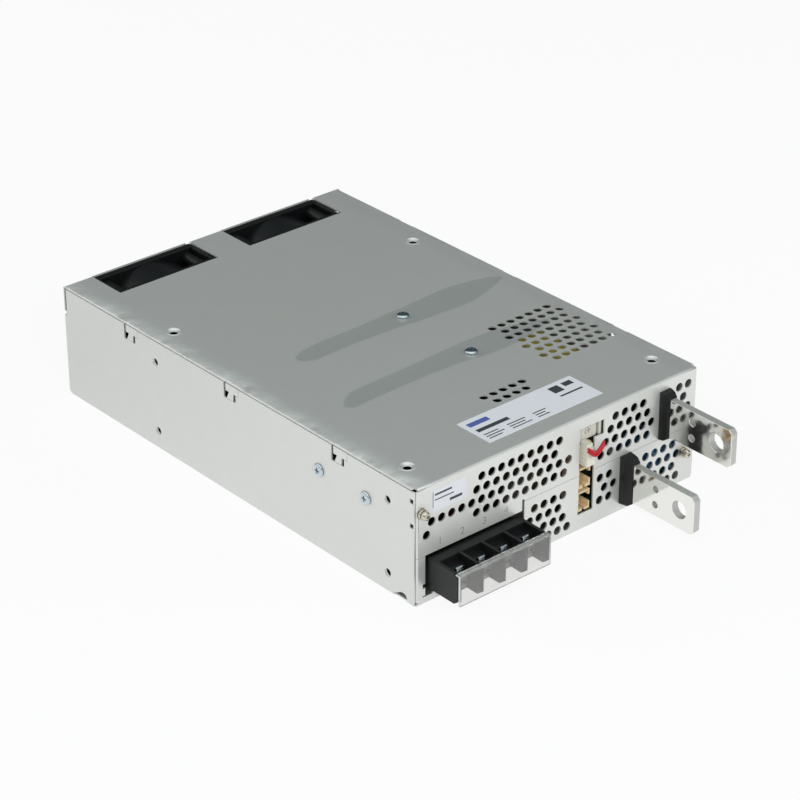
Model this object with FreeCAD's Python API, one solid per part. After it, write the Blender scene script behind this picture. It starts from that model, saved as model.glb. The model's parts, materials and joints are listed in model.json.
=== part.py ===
"""Chassis mount switching power supply in a folded steel case.

Millimetres, +Z up. The terminal end faces -Y and the fan end +Y. The origin is the centre of the
case's footprint, on its underside.
"""
import FreeCAD, Part
import math
import os

# Case of galvanised sheet
WIDTH = 178.0
DEPTH = 268.0
HEIGHT = 61.0
SHEET = 0.8
BEND = 1.2  # outside radius of a fold
SEAM = 0.2  # gap between sheet edges that meet
FIT = 0.05  # gap round a piece that a hole or slot locates
SCREW_GAP = 0.15  # gap round a screw in a clearance hole
CORNER_RELIEF = 1.0
FOOT_ARCH = (5.6, 15.0)  # cut in the foot of each side, from the front
FOOT_RISE = 4.0
FOOT_CORNER = 2.0
REAR_TAB_Z = 47.5  # lower edge of the cover's rear tabs
REAR_NOTCH = 2.3
SIDE_NOTCH = 3.0  # how far the sides' upper rear ends are cut back

# Front panel, split between the chassis and the cover's flange
SPLIT_Z = 30.0
INLET_TOP_Z = 25.2  # the split is lower over the terminal block
INLET_GAP = (1.3, 3.8)  # room left and right of the terminal block
INLET_SILL_Z = 4.5
INLET_LATCH = (1.5, 8.4, 10.6)  # notch in the cut-out's left edge: depth, bottom, top
INLET_KEY = (1.6, 4.4, 0.7)  # notch in its lower left corner: left, right, depth
STEP_NOTCH = (1.4, 1.0)  # relief where the cover's flange steps: width, height

# Vent holes on a staggered grid, six-sided to keep the sheet's mesh light
VENT_R = 2.45
VENT_SIDES = 6
VENT_PITCH = 6.0
VENT_Z = 5.7  # lowest row
VENT_LEFT = 90.8  # first column, from the left side
VENT_RIGHT = 87.2  # first column of the right-hand groups, from the right side
# row number: (first column, holes); columns from 4 up belong to the right-hand groups
LOWER_VENTS = {
    0: ((-2, 3), (10, 3)),
    1: ((-3, 4), (4, 2), (10, 3)),
    2: ((-4, 4), (4, 2), (9, 4)),
    3: ((-3, 4), (4, 2), (9, 4)),
}
UPPER_VENTS = {
    5: ((-14, 1), (-9, 10), (4, 6), (13, 1)),
    6: ((-14, 15), (4, 6), (12, 2)),
    7: ((-9, 9), (5, 5), (13, 1)),
    8: ((-9, 9), (5, 4), (12, 2)),
}
TOP_PITCH = 6.05
TOP_VENT_RIGHT = 47.4  # first hole of the large field, from the right side
TOP_VENT_FRONT = 50.4  # last row of the large field, from the front
TOP_VENT_ROWS = 8
TOP_VENT_COLUMNS = 7
SMALL_VENT_X = -8.4
SMALL_VENT_FRONT = 43.9
SMALL_VENT_COLUMNS = 5

# Fixing holes, M4 tapped in burred sheet
TAP_R = 1.7
BURR_R = 2.8
BURR_DEPTH = 2.2
FIXING_X = 154.0  # hole spacing across the top and bottom
FIXING_FRONT = 19.0  # front holes, from the front
FIXING_Y = 173.0  # hole spacing along the case
FIXING_Z = 10.0  # lower side holes
FIXING_RISE = 38.2  # spacing of the side holes

# Hook tabs that hang the cover on the chassis sides
HOOK_FRONT = (51.5, 131.0, 210.5)  # tab centres, from the front
HOOK_WIDTH = 9.0
HOOK_DROP = 3.7
TONGUE_WIDTH = 3.5
TONGUE_DROP = 4.2
TONGUE_SHIFT = 1.75
WINDOW_WIDTH = 8.6

# Shallow pressed seats in the top, over the heatsinks
SEAT_FRONT = (81.3, 131.3)  # centre lines, from the front
SEAT_WIDTH = 17.2
SEAT_DEPTH = 0.25
SEAT_LEFT = (25.0, 38.0)  # tips, from the left side
SEAT_RIGHT = (16.0, 7.0)  # tips, from the right side
SEAT_TAPER = (11.0, 21.0)  # left and right
SEAT_TIP = (2.9, 1.4)  # half widths of the blunt left and right tips
SCREW_RIGHT = 71.3  # the seat's screw, from the right side

# Fans
FAN_SIZE = 60.0
FAN_DEPTH = 25.0
FAN_X = 41.0
FAN_LIFT = 0.1
FAN_HOLE_INSET = 5.0
FAN_HOLE_R = 2.15
FAN_POST_R = 3.5
FAN_FLANGE = 4.0
FAN_CORNER = 4.0
FAN_RIM = 1.6  # thinnest wall between the bore and the frame's sides
FAN_DUCT = 3.6  # wall of the duct between the flanges
FAN_SIDES = 16
FAN_GAP = 0.8  # room beside the fan in the cover and the chassis
FAN_COVERED = 0.8  # how far the cover reaches over the fan's front edge
MOTOR_SEAT = 3.0
STRUT = 3.0
HUB_R = 15.3
HUB_WALL = 1.3
HUB_END = 1.8
HUB_LENGTH = 18.0
HUB_LIFT = 1.5  # from the motor's seat to the hub's open edge
HUB_SIDES = 12
BLADES = 7
BLADE_GAP = 0.9  # from the tips to the bore
BLADE_THICK = 1.2
BLADE_BOW = 1.9
BLADE_ROOT = (46.0, 15.0)  # pitch in degrees, chord
BLADE_TIP = (30.0, 21.0)
SHAFT_R = 1.5
SHAFT_INSET = 1.5  # from the frame's front face to the shaft's end
BEARING_R = 3.4
BEARING_LENGTH = 15.0
STATOR_R = 12.6
STATOR_LENGTH = 9.0
STATOR_LIFT = 2.5  # from the motor's seat to the windings
GUARD_RINGS = ((11.0, 18.6, 3), (20.4, 28.0, 4))  # inner and outer radius, flats in a quarter
GUARD_SPOKE = 12.0  # degrees of sheet between the guard's slots
FAN_SCREW = (10.0, 3.4, 2.0)  # length, head radius, head height

# Input terminal block
TERMINAL_LEFT = 7.3  # from the left side
POLES = 4
POLE_PITCH = 13.4
BARRIER = 1.7
BARRIER_REACH = 20.4  # proud of the front
BLOCK_REACH = 11.0
BLOCK_BOTTOM = 8.0
BLOCK_TOP = 24.0
LEDGE_Z = 21.0
BACK_WALL = 3.0
BLOCK_INSIDE = 10.0
PLATE_THICK = 1.0
PLATE_WIDTH = 9.6
POLE_Z = 16.4
WASHER = 8.0
WASHER_THICK = 1.0
WASHER_TAB = (4.0, 1.6)  # width, rise above the washer
POLE_HEAD_R = 3.7
POLE_HEAD = 3.2
POLE_SCREW_R = 1.95
POLE_SCREW = 8.0
POLE_OPEN = 0.4  # how far the washers stand off the plates
PLATE_INSET = (2.0, 0.5)  # plate's ends, from the block's bottom and the ledge
WASHER_CORNER = 0.8
GUARD_REACH = 22.0  # clear guard's face, proud of the front
GUARD_THICK = 1.4
GUARD_LIP = 2.6
GUARD_LIP_THICK = 0.9

# Output bars
BAR_THICK = 4.0
BAR_TALL = 20.0
BAR_INSIDE = 26.0
BAR_LEG = 10.0
BAR_HOLE_R = 4.5
BAR_HOLE_END = 9.5  # hole centre from the bar's end
BAR_TAP_R = 1.9
BAR_TAP_END = 25.0
BAR_TAP_PITCH = 8.3
BAR_CORNER = 2.0
UPPER_BAR = (21.8, 33.0, 45.2)  # from the right side, height of the lower edge, proud of the front
LOWER_BAR = (46.9, 7.7, 47.3)
BUSHING_WALL = (1.6, 2.8)  # beside the bar and above it, at the panel
BUSHING_NOSE = (0.5, 0.6)  # the same at the nose
BUSHING_BOW = 0.35
BUSHING_SHOULDER = (2.4, 0.5)  # where the nose starts to close in: from the nose, drop
BUSHING_END = 39.6  # nose, from the bar's end
BUSHING_NECK = 0.7  # step from the bushing's face in to its neck
BUSHING_TAIL = 1.5
BUSHING_SIDES = 3  # flats in each bowed cheek

# Signal connectors
SIGNAL_RIGHT = 77.3  # opening's left edge, from the right side
TRIMMER_WINDOW = (15.7, 47.2, 54.7)  # width, bottom, top
PLUG_WINDOW = 9.7
SIGNAL_SILL_Z = 8.8
SIGNAL_BOARD_GAP = 11.0  # from the panel's back to the board
HEADER_WIDTH = 8.0
HEADER_Z = ((9.4, 20.0), (21.8, 32.6), (34.0, 46.8))
HEADER_WALL = 1.0
HEADER_KEY = 4.0
KEY_STOP = 2.0
HEADER_DEPTH = 9.0
PIN_ROWS = 4
PIN_PITCH = 2.0
PIN_SIZE = 0.64
PIN_LENGTH = 3.4
PLUG_REACH = 6.6
PLUG_INSET = 0.3
PLUG_LATCH = (1.2, 3.6, 0.8)  # thickness, height, set back from the plug's face
WIRE_R = 0.75
WIRE_LOOP = 4.0
WIRE_CAVITY = 4.0
WIRE_SEATED = 3.0
WIRE_SPACING = (2.7, 5.3)
LOOP_FLATS = 4
TRIMMER_WIDTH = 10.0
TRIMMER_TALL = 6.4
TRIMMER_SCREW_R = 1.9
TRIMMER_SCREW_DEPTH = 2.5
TRIMMER_SET_BACK = 1.2  # from the panel's back to the trimmer's face
TRIMMER_SHIFT = -0.4
TRIMMER_BEVEL = 0.8
TRIMMER_FLOAT = 0.1
TRIMMER_SLOT = (0.7, 3.0, 0.9)  # width, length, depth of the cross

# Boards
BOARD_Z = 5.8
BOARD_THICK = 1.6
BOARD_MARGIN = 3.5
BOARD_INSET = 2.0  # front edge, from the panel's back
BOARD_REAR = 34.0  # from the rear of the case
POST_R = 3.0
POST_FRONT = (39.0, 146.0, 228.0)
POST_INSET = 8.5
BOARD_SCREW = 3.0  # thread below the board
SIGNAL_BOARD_LEFT = 4.0
SIGNAL_BOARD_TOP = 4.0
SIGNAL_BAR_ROOM = (4.0, 3.0, 8.0)  # left of the lower bar, above it, and right of it

# Heatsinks and what is clamped to them
SINK_WEB = 4.0
SINK_FLANGE = 4.0
SINK_LIFT = 2.0  # web's underside above the board
DEVICE = (15.6, 4.8, 20.0)  # width, thickness, height
DEVICE_PITCH = 20.0
DEVICES = 4
DEVICE_LIFT = 8.0
DEVICE_LEADS = 5.4
LEAD = 1.2
SINK_FOOT = 8.0
SINK_INSET = 1.0  # heatsink's flange inside the pressed seat
SINK_CLEAR = 4.0  # front heatsink's end, from the large vent field
RECTIFIER = (22.0, 11.0, 9.0)  # width, below and above its screw
RECTIFIER_LEADS = 5.0

# Board layout: places are from the left or right side and from the front
CAN_SIDES = 10
TOROID_SIDES = 14
LINE_CHOKE = (14.0, 6.0, 15.0)  # outer radius, hole radius, length
LINE_CHOKES_LEFT = ((27.0, 20.0), (59.0, 38.0))
CHOKE_BASE = (18.0, 2.0, 4.0)  # width, lift of the ring, depth of its seat
FILM_CAPACITORS_LEFT = ((9.0, 46.0, 18.0, 26.0, 22.0), (81.0, 52.0, 26.0, 11.0, 20.0))
INLET_CAPACITOR = (28.0, 12.0, 26.6)
INLET_CAPACITOR_GAP = (5.0, 1.0)  # from the signal board, and behind the terminal block
FILM_CORNER = 1.0
FUSE_LEFT = (41.0, 58.0)
FUSE = (3.2, 20.0, 5.5)  # radius, length, height of its middle
FUSE_HOLDER = (22.0, 8.0, 3.0)
RELAY_LEFT = (29.0, 134.0)
RELAY = (20.0, 16.0, 20.0)
RELAY_CORNER = 0.8
BOOST_CHOKE_RIGHT = (43.0, 184.0)
BOOST_CHOKE = (24.0, 10.0, 26.0)
BULK_LEFT = (27.0, 60.0, 93.0)
BULK_FRONT = (172.0, 206.0)
BULK_CAN = (15.0, 46.0)  # radius, height
OUTPUT_CHOKE_RIGHT = (66.0, 40.0)
OUTPUT_CHOKE = (13.0, 5.0, 18.0)
OUTPUT_CANS_RIGHT = ((35.0, 9.0), (23.0, 9.0), (11.0, 9.0), (35.0, 34.5), (9.5, 29.0))
OUTPUT_CAN = (5.5, 23.0)
TRANSFORMER_RIGHT = (27.5, 71.5)  # middle of the winding
WINDING = (17.0, 45.0, 40.0)
WINDING_CORNER = 3.0
CORE_LEG = 8.0
CORE_TALL = 24.0
CORE_GAP = 0.2
CENTRE_LEG = (20.0, 18.0)
TRANSFORMER_BASE = 4.0
BASE_MARGIN = 2.0

# Screws
SCREW_HEAD_R = 3.3
SCREW_HEAD = 1.5
SCREW_R = 1.45
SCREW_LENGTH = 6.0
HEAD_SIDES = 8
HOLE_SIDES = 6
SIDE_SCREW_FRONT = (33.6, 66.8)
SIDE_SCREW_Z = 42.7
PANEL_SCREW_LEFT = (3.6, 48.4)
PANEL_SCREW_RIGHT = (8.0, 17.2)
PANEL_SCREW = (5.0, 2.75, 2.4)  # length, radius and height of head
SCREW_TABS = (9.5, 14.0)  # widths of the tabs behind the front, left and right
SCREW_TAB_TALL = 10.5
TAB_SLOT = (1.4, 1.2, 2.0)  # reliefs beside the left tab: from the front, width, height
WASHER_R = 3.3
SPRING_R = 2.8
FLAT_WASHER = 0.6
SPRING_WASHER = 1.1

# Labels
LABEL_THICK = 0.12
TOP_LABEL = (71.2, 22.4, 0.4, 21.6)  # width, length, middle, middle from the front
FRONT_LABEL = (19.8, 10.9, 20.1, 51.8)  # width, height, middle from the left side, height of middle

# Faces that other sizes are taken from
SIDE = WIDTH / 2
FRONT = -DEPTH / 2
REAR = DEPTH / 2
SEAM_Z = HEIGHT - SHEET  # top of the chassis walls
WALL_X = SIDE - SHEET
FRONT_IN = FRONT + SHEET
REAR_IN = REAR - SHEET
BOARD_TOP = BOARD_Z + BOARD_THICK
FAN_Z = FAN_LIFT + FAN_SIZE / 2
FAN_FRONT = REAR_IN - FAN_DEPTH
SEAT_Z = HEIGHT - SEAT_DEPTH
SIGNAL_X = SIDE - SIGNAL_RIGHT
SIGNAL_BOARD_Y = FRONT_IN + SIGNAL_BOARD_GAP
TERMINAL_X = TERMINAL_LEFT - SIDE
TERMINAL_WIDTH = POLES * POLE_PITCH + BARRIER
INLET_X = (TERMINAL_X - INLET_GAP[0], TERMINAL_X + TERMINAL_WIDTH + INLET_GAP[1])
FAN_HOLES = FAN_SIZE - 2 * FAN_HOLE_INSET
FAN_BORE_R = FAN_SIZE / 2 - FAN_RIM
FAN_OPENING = FAN_SIZE + 2 * FAN_GAP
BLADE_R = FAN_BORE_R - BLADE_GAP
HUB_FRONT = FAN_FRONT + MOTOR_SEAT + HUB_LIFT
POLE_SEAT = FRONT - BLOCK_REACH - PLATE_THICK - POLE_OPEN - WASHER_THICK  # where the heads bear
GUARD_BACK = FRONT - GUARD_REACH + GUARD_THICK
GUARD_LIP_END = GUARD_BACK + GUARD_LIP
HEADER_X = SIGNAL_X + (PLUG_WINDOW - HEADER_WIDTH) / 2
HEADER_MOUTH = SIGNAL_BOARD_Y - HEADER_DEPTH
PLUG_FACE = HEADER_MOUTH - PLUG_REACH
TRIMMER_X = SIGNAL_X + TRIMMER_WINDOW[0] / 2 + TRIMMER_SHIFT
TRIMMER_FACE = FRONT_IN + TRIMMER_SET_BACK
TRIMMER_Z = (TRIMMER_WINDOW[1] + TRIMMER_WINDOW[2]) / 2
AXIS = {"x": FreeCAD.Vector(1, 0, 0), "y": FreeCAD.Vector(0, 1, 0), "z": FreeCAD.Vector(0, 0, 1)}
ABOVE = 1.0  # how far a cutter runs past the face that it cuts


def at(x, y, z):
    return FreeCAD.Vector(x, y, z)


def block(x0, x1, y0, y1, z0, z1):
    return Part.makeBox(x1 - x0, y1 - y0, z1 - z0, at(x0, y0, z0))


def rod(radius, length, start, axis):
    return Part.makeCylinder(radius, length, start, AXIS[axis])


def prism(outline, axis, start, length):
    """Extrudes a closed outline of flat (u, v) points along an axis: x takes (y, z), y takes (x, z)."""
    place = {
        "x": lambda u, v: at(start, u, v),
        "y": lambda u, v: at(u, start, v),
        "z": lambda u, v: at(u, v, start),
    }[axis]
    points = [place(u, v) for u, v in outline]
    face = Part.Face(Part.makePolygon(points + points[:1]))
    return face.extrude(AXIS[axis] * length)


def many_sided(radius, sides, length, start, axis):
    """A light stand-in for a small round bar or hole."""
    step = 2 * math.pi / sides
    turns = [(i + 0.5) * step for i in range(sides)]
    u, v, w = {
        "x": (start.y, start.z, start.x),
        "y": (start.x, start.z, start.y),
        "z": (start.x, start.y, start.z),
    }[axis]
    outline = [(u + radius * math.cos(t), v + radius * math.sin(t)) for t in turns]
    return prism(outline, axis, w, length)


def joined(shapes):
    return shapes[0].multiFuse(shapes[1:]).removeSplitter()


def edges_on(shape, axis, tests):
    """The straight edges along an axis whose middles pass every (coordinate, value) test."""
    found = []
    for edge in shape.Edges:
        ends = [v.Point for v in edge.Vertexes]
        if len(ends) != 2 or edge.Curve.TypeId != "Part::GeomLine":
            continue
        run = ends[1] - ends[0]
        if abs(abs(run.dot(AXIS[axis])) - run.Length) > 1e-6:
            continue
        middle = (ends[0] + ends[1]) * 0.5
        if all(abs(getattr(middle, name) - value) < 1e-4 for name, value in tests):
            found.append(edge)
    return found


def mirrored(shape):
    return shape.mirror(at(0, 0, 0), AXIS["x"])


def vent_x(row, column):
    origin = SIDE - VENT_RIGHT if column >= 4 else VENT_LEFT - SIDE
    stagger = VENT_PITCH / 2 if row % 2 == 0 else 0.0
    return origin + column * VENT_PITCH + stagger


def front_vents(rows):
    holes = []
    for row, groups in rows.items():
        for first, count in groups:
            for column in range(first, first + count):
                start = at(vent_x(row, column), FRONT - ABOVE, VENT_Z + row * VENT_PITCH)
                holes.append(many_sided(VENT_R, VENT_SIDES, SHEET + 2 * ABOVE, start, "y"))
    return holes


def top_vents():
    spots = []
    for row in range(TOP_VENT_ROWS):
        shift = TOP_PITCH / 2 if row % 2 == 0 else 0.0
        y = FRONT + TOP_VENT_FRONT + row * TOP_PITCH
        for column in range(TOP_VENT_COLUMNS):
            spots.append((SIDE - TOP_VENT_RIGHT + shift + column * TOP_PITCH, y))
    for row in range(2):
        y = FRONT + SMALL_VENT_FRONT - row * TOP_PITCH
        for column in range(SMALL_VENT_COLUMNS - row):
            spots.append((SMALL_VENT_X + (column + row / 2) * TOP_PITCH, y))
    start_z = SEAM_Z - SEAT_DEPTH - ABOVE
    length = HEIGHT + ABOVE - start_z
    return [many_sided(VENT_R, VENT_SIDES, length, at(x, y, start_z), "z") for x, y in spots]


def fixing_ys():
    return FRONT + FIXING_FRONT, FRONT + FIXING_FRONT + FIXING_Y


def flat_burrs(z):
    """Collars and tapped holes of the fixings in the bottom, whose collars start at z, or in the top."""
    collars = []
    holes = []
    for x in (-FIXING_X / 2, FIXING_X / 2):
        for y in fixing_ys():
            collars.append(many_sided(BURR_R, HOLE_SIDES, BURR_DEPTH, at(x, y, z), "z"))
            start = at(x, y, z - SHEET - ABOVE)
            holes.append(rod(TAP_R, BURR_DEPTH + 2 * SHEET + 2 * ABOVE, start, "z"))
    return collars, holes


def side_burrs():
    collars = []
    holes = []
    for y in fixing_ys():
        for z in (FIXING_Z, FIXING_Z + FIXING_RISE):
            collar = at(WALL_X - BURR_DEPTH, y, z)
            collars.append(many_sided(BURR_R, HOLE_SIDES, BURR_DEPTH, collar, "x"))
            start = at(WALL_X - BURR_DEPTH - ABOVE, y, z)
            holes.append(rod(TAP_R, BURR_DEPTH + SHEET + 2 * ABOVE, start, "x"))
    return collars, holes


def hook_outline(y, gap):
    """Tab with a narrower tongue below it, grown by a gap for the hole that takes it."""
    top = SEAM_Z
    low = top - HOOK_DROP - gap
    tip = low - TONGUE_DROP
    half = HOOK_WIDTH / 2 + gap
    if gap:
        tongue = WINDOW_WIDTH / 2
    else:
        tongue = TONGUE_WIDTH / 2
    middle = y + TONGUE_SHIFT
    return [
        (y - half, top + gap),
        (y - half, low),
        (middle - tongue, low),
        (middle - tongue, tip),
        (middle + tongue, tip),
        (middle + tongue, low),
        (y + half, low),
        (y + half, top + gap),
    ]


def fan_corners(x, y):
    half = FAN_HOLES / 2
    return [at(x + dx, y, FAN_Z + dz) for dx in (-half, half) for dz in (-half, half)]


def guard_slots(x):
    """Finger guard punched in the rear wall: two rings of four slots, and the fan's screw holes."""
    slots = []
    sweep = 90.0 - GUARD_SPOKE
    for inner, outer, flats in GUARD_RINGS:
        for quarter in range(4):
            first = 90.0 * quarter + GUARD_SPOKE / 2
            turns = [math.radians(first + sweep * k / flats) for k in range(flats + 1)]
            rim = [(x + outer * math.cos(t), FAN_Z + outer * math.sin(t)) for t in turns]
            rim += [(x + inner * math.cos(t), FAN_Z + inner * math.sin(t)) for t in reversed(turns)]
            slots.append(prism(rim, "y", REAR_IN - ABOVE, SHEET + 2 * ABOVE))
    for corner in fan_corners(x, REAR_IN - ABOVE):
        slots.append(many_sided(FAN_HOLE_R, HOLE_SIDES, SHEET + 2 * ABOVE, corner, "y"))
    return slots


def fan_opening(x, depth, rear, z0, z1):
    half = FAN_OPENING / 2
    return block(x - half, x + half, REAR_IN - depth, rear, z0, z1)


def rear_tabs(gap):
    """Where the cover's rear tabs lie, grown by a gap for the chassis wall: (x0, x1) pairs."""
    inner = FAN_X - FAN_OPENING / 2 + gap
    outer = FAN_X + FAN_OPENING / 2 - gap
    return ((-SIDE, -outer), (-inner, inner), (outer, SIDE))


def chassis():
    outer = block(-SIDE, SIDE, FRONT, REAR, 0, SEAM_Z)
    low_edges = [e for e in outer.Edges if all(abs(v.Point.z) < 1e-6 for v in e.Vertexes)]
    outer = outer.makeFillet(BEND, low_edges)
    inner = block(-WALL_X, WALL_X, FRONT_IN, REAR_IN, SHEET, SEAM_Z + ABOVE)
    floor_edges = [e for e in inner.Edges if all(abs(v.Point.z - SHEET) < 1e-6 for v in e.Vertexes)]
    tray = outer.cut(inner.makeFillet(BEND - SHEET, floor_edges))
    collars, holes = flat_burrs(SHEET)
    side_collars, side_holes = side_burrs()
    half = FAN_OPENING / 2
    crests = [block(x - half, x + half, REAR_IN, REAR, SEAM_Z, HEIGHT) for x in (-FAN_X, FAN_X)]
    collars += side_collars + [mirrored(collar) for collar in side_collars]
    tray = joined([tray] + collars + screw_tabs() + crests)
    cuts = holes + side_holes + [mirrored(hole) for hole in side_holes]
    cuts += front_vents(LOWER_VENTS) + front_cuts()
    for sign in (-1, 1):
        cuts.extend(side_cuts(sign))
    for y in SIDE_SCREW_FRONT:
        start = at(-SIDE - ABOVE, FRONT + y, SIDE_SCREW_Z)
        cuts.append(many_sided(SCREW_R + SCREW_GAP, HOLE_SIDES, SHEET + 2 * ABOVE, start, "x"))
    back, wide, tall = TAB_SLOT
    for sign in (-1, 1):
        z = PANEL_SCREW_LEFT[1] + sign * (SCREW_TAB_TALL + tall) / 2
        near = FRONT + back
        cuts.append(block(-SIDE - ABOVE, -WALL_X, near, near + wide, z - tall / 2, z + tall / 2))
    for x in (-FAN_X, FAN_X):
        cuts.extend(guard_slots(x))
        cuts.append(fan_opening(x, FAN_DEPTH + SEAM, REAR_IN, -ABOVE, SHEET + ABOVE))
    for x0, x1 in rear_tabs(SEAM):
        cuts.append(block(x0, x1, REAR_IN, REAR + ABOVE, REAR_TAB_Z - SEAM, HEIGHT + ABOVE))
    return tray.cut(cuts)


def screw_tabs():
    """Tabs folded in from the sides, behind the front, that the panel screws are driven into."""
    y = FRONT_IN + FIT
    tabs = []
    for sign, wide, (x, z) in zip((-1, 1), SCREW_TABS, panel_screw_spots()):
        x0, x1 = sorted((sign * WALL_X, sign * (WALL_X - wide)))
        tabs.append(block(x0, x1, y, y + SHEET, z - SCREW_TAB_TALL / 2, z + SCREW_TAB_TALL / 2))
    return tabs


def front_cuts():
    """The chassis front's share of the panel cut-outs, and the room for the cover's flange."""
    y0 = FRONT - ABOVE
    y1 = FRONT_IN
    left, right = INLET_X
    deep, latch_low, latch_high = INLET_LATCH
    key_left, key_right, key_deep = INLET_KEY
    cuts = [
        block(-WALL_X, WALL_X, y0, y1, SPLIT_Z, HEIGHT),
        block(-WALL_X, right, y0, y1, INLET_TOP_Z, SPLIT_Z + ABOVE),
        block(left, right, y0, y1, INLET_SILL_Z, SPLIT_Z),
        block(left - deep, left + ABOVE, y0, y1, latch_low, latch_high),
        block(left - key_left, left + key_right, y0, y1, INLET_SILL_Z - key_deep, INLET_SILL_Z + ABOVE),
        block(SIGNAL_X, SIGNAL_X + PLUG_WINDOW, y0, y1, SIGNAL_SILL_Z, SPLIT_Z + ABOVE),
    ] + bushing_holes()
    for x, z in panel_screw_spots():
        length = 2 * SHEET + FIT + 2 * ABOVE
        cuts.append(many_sided(SCREW_R + SCREW_GAP, HOLE_SIDES, length, at(x, y0, z), "y"))
    return cuts


def side_cuts(sign):
    """Seams at the corners, hook windows, rear notch and foot arch of one side."""
    x0, x1 = sorted((sign * (WALL_X - SEAM), sign * WALL_X))
    cuts = [
        block(x0, x1, FRONT - ABOVE, FRONT_IN, BEND, SPLIT_Z + ABOVE),
        block(x0, x1, REAR_IN, REAR + ABOVE, BEND, HEIGHT),
    ]
    for y in (FRONT + BEND / 2, REAR - BEND / 2):
        corner = at(sign * (SIDE - BEND / 2), y, -ABOVE)
        cuts.append(many_sided(CORNER_RELIEF, HOLE_SIDES, BEND + ABOVE, corner, "z"))
    x0, x1 = sorted((sign * (WALL_X - FIT), sign * (SIDE + ABOVE)))
    for y in HOOK_FRONT:
        cuts.append(prism(hook_outline(FRONT + y, SEAM), "x", x0, x1 - x0))
    cuts.append(block(x0, x1, REAR_IN - SIDE_NOTCH, REAR + ABOVE, REAR_TAB_Z - REAR_NOTCH, HEIGHT))
    near = FRONT + FOOT_ARCH[0]
    far = FRONT + FOOT_ARCH[1]
    arch = [(near, -ABOVE), (far, -ABOVE), (far, FOOT_RISE - FOOT_CORNER), (far - FOOT_CORNER, FOOT_RISE),
            (near + FOOT_CORNER, FOOT_RISE), (near, FOOT_RISE - FOOT_CORNER)]
    cuts.append(prism(arch, "x", x0, x1 - x0))
    return cuts


def panel_screw_spots():
    return (
        (PANEL_SCREW_LEFT[0] - SIDE, PANEL_SCREW_LEFT[1]),
        (SIDE - PANEL_SCREW_RIGHT[0], PANEL_SCREW_RIGHT[1]),
    )


def bar_middle(bar):
    right, low, _ = bar
    return SIDE - right, low + BAR_TALL / 2


def bushing_holes():
    """Holes for both bushings' necks, cut in both sheets since a tall bar reaches across the split."""
    wide = BAR_THICK / 2 + BUSHING_WALL[0] - BUSHING_NECK + FIT
    tall = BAR_TALL / 2 + BUSHING_WALL[1] - BUSHING_NECK + FIT
    holes = []
    for x, z in (bar_middle(UPPER_BAR), bar_middle(LOWER_BAR)):
        holes.append(block(x - wide, x + wide, FRONT - ABOVE, FRONT_IN + ABOVE, z - tall, z + tall))
    return holes


def seat_outline(i, grow=0.0):
    y = FRONT + SEAT_FRONT[i]
    half = SEAT_WIDTH / 2 + grow
    left = SEAT_LEFT[i] - SIDE - grow
    right = SIDE - SEAT_RIGHT[i] + grow
    near = left + SEAT_TAPER[0]
    far = right - SEAT_TAPER[1]
    blunt, sharp = SEAT_TIP
    return [(left, y - blunt), (near, y - half), (far, y - half), (right, y - sharp),
            (right, y + sharp), (far, y + half), (near, y + half), (left, y + blunt)]


def seat_screw(i):
    return SIDE - SCREW_RIGHT, FRONT + SEAT_FRONT[i]


def top_cover():
    edge = WALL_X - SEAM
    plate = block(-SIDE, SIDE, FRONT, REAR, SEAM_Z, HEIGHT)
    step_x = INLET_X[1]
    low = INLET_TOP_Z + SEAM
    notch_x = step_x - STEP_NOTCH[0]
    notch_z = SPLIT_Z + SEAM + STEP_NOTCH[1]
    split = SPLIT_Z + SEAM
    flange = prism([(-edge, low), (notch_x, low), (notch_x, notch_z), (step_x, notch_z), (step_x, split),
                    (edge, split), (edge, HEIGHT), (-edge, HEIGHT)], "y", FRONT, SHEET)
    pieces = [plate, flange]
    for x0, x1 in rear_tabs(0.0):
        pieces.append(block(x0, x1, REAR_IN, REAR, REAR_TAB_Z, HEIGHT))
    cover = joined(pieces)
    z0 = SEAM_Z - ABOVE
    z1 = HEIGHT + ABOVE
    corners = [fan_opening(x, FAN_DEPTH - FAN_COVERED, REAR + ABOVE, z0, z1) for x in (-FAN_X, FAN_X)]
    for sign in (-1, 1):
        x0, x1 = sorted((sign * edge, sign * (SIDE + ABOVE)))
        corners.append(block(x0, x1, FRONT - ABOVE, FRONT + BEND, z0, z1))
    cover = cover.cut(corners)
    folds = [e for y in (FRONT, REAR) for e in edges_on(cover, "x", (("y", y), ("z", HEIGHT)))]
    cover = cover.makeFillet(BEND, folds)
    collars, holes = flat_burrs(SEAM_Z - BURR_DEPTH)
    added = list(collars)
    for i in range(len(SEAT_FRONT)):
        added.append(prism(seat_outline(i, SHEET), "z", SEAM_Z - SEAT_DEPTH, SEAT_DEPTH))
    for y in HOOK_FRONT:
        tab = prism(hook_outline(FRONT + y, 0.0), "x", WALL_X, SHEET)
        added.extend((tab, mirrored(tab)))
    cover = joined([cover] + added)
    cuts = holes + front_vents(UPPER_VENTS) + top_vents()
    for i in range(len(SEAT_FRONT)):
        cuts.append(prism(seat_outline(i), "z", SEAT_Z, SEAT_DEPTH + ABOVE))
        x, y = seat_screw(i)
        cuts.append(many_sided(SCREW_R + SCREW_GAP, HOLE_SIDES, SHEET + 2 * ABOVE, at(x, y, z0), "z"))
    wide, low, high = TRIMMER_WINDOW
    y0 = FRONT - ABOVE
    y1 = FRONT_IN + ABOVE
    cuts.append(block(SIGNAL_X, SIGNAL_X + wide, y0, y1, low, high))
    cuts.append(block(SIGNAL_X, SIGNAL_X + PLUG_WINDOW, y0, y1, SPLIT_Z - ABOVE, high))
    cuts.extend(bushing_holes())
    x, z = panel_screw_spots()[0]
    cuts.append(many_sided(SCREW_R + SCREW_GAP, HOLE_SIDES, SHEET + 2 * ABOVE, at(x, y0, z), "y"))
    return cover.cut(cuts)


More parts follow.
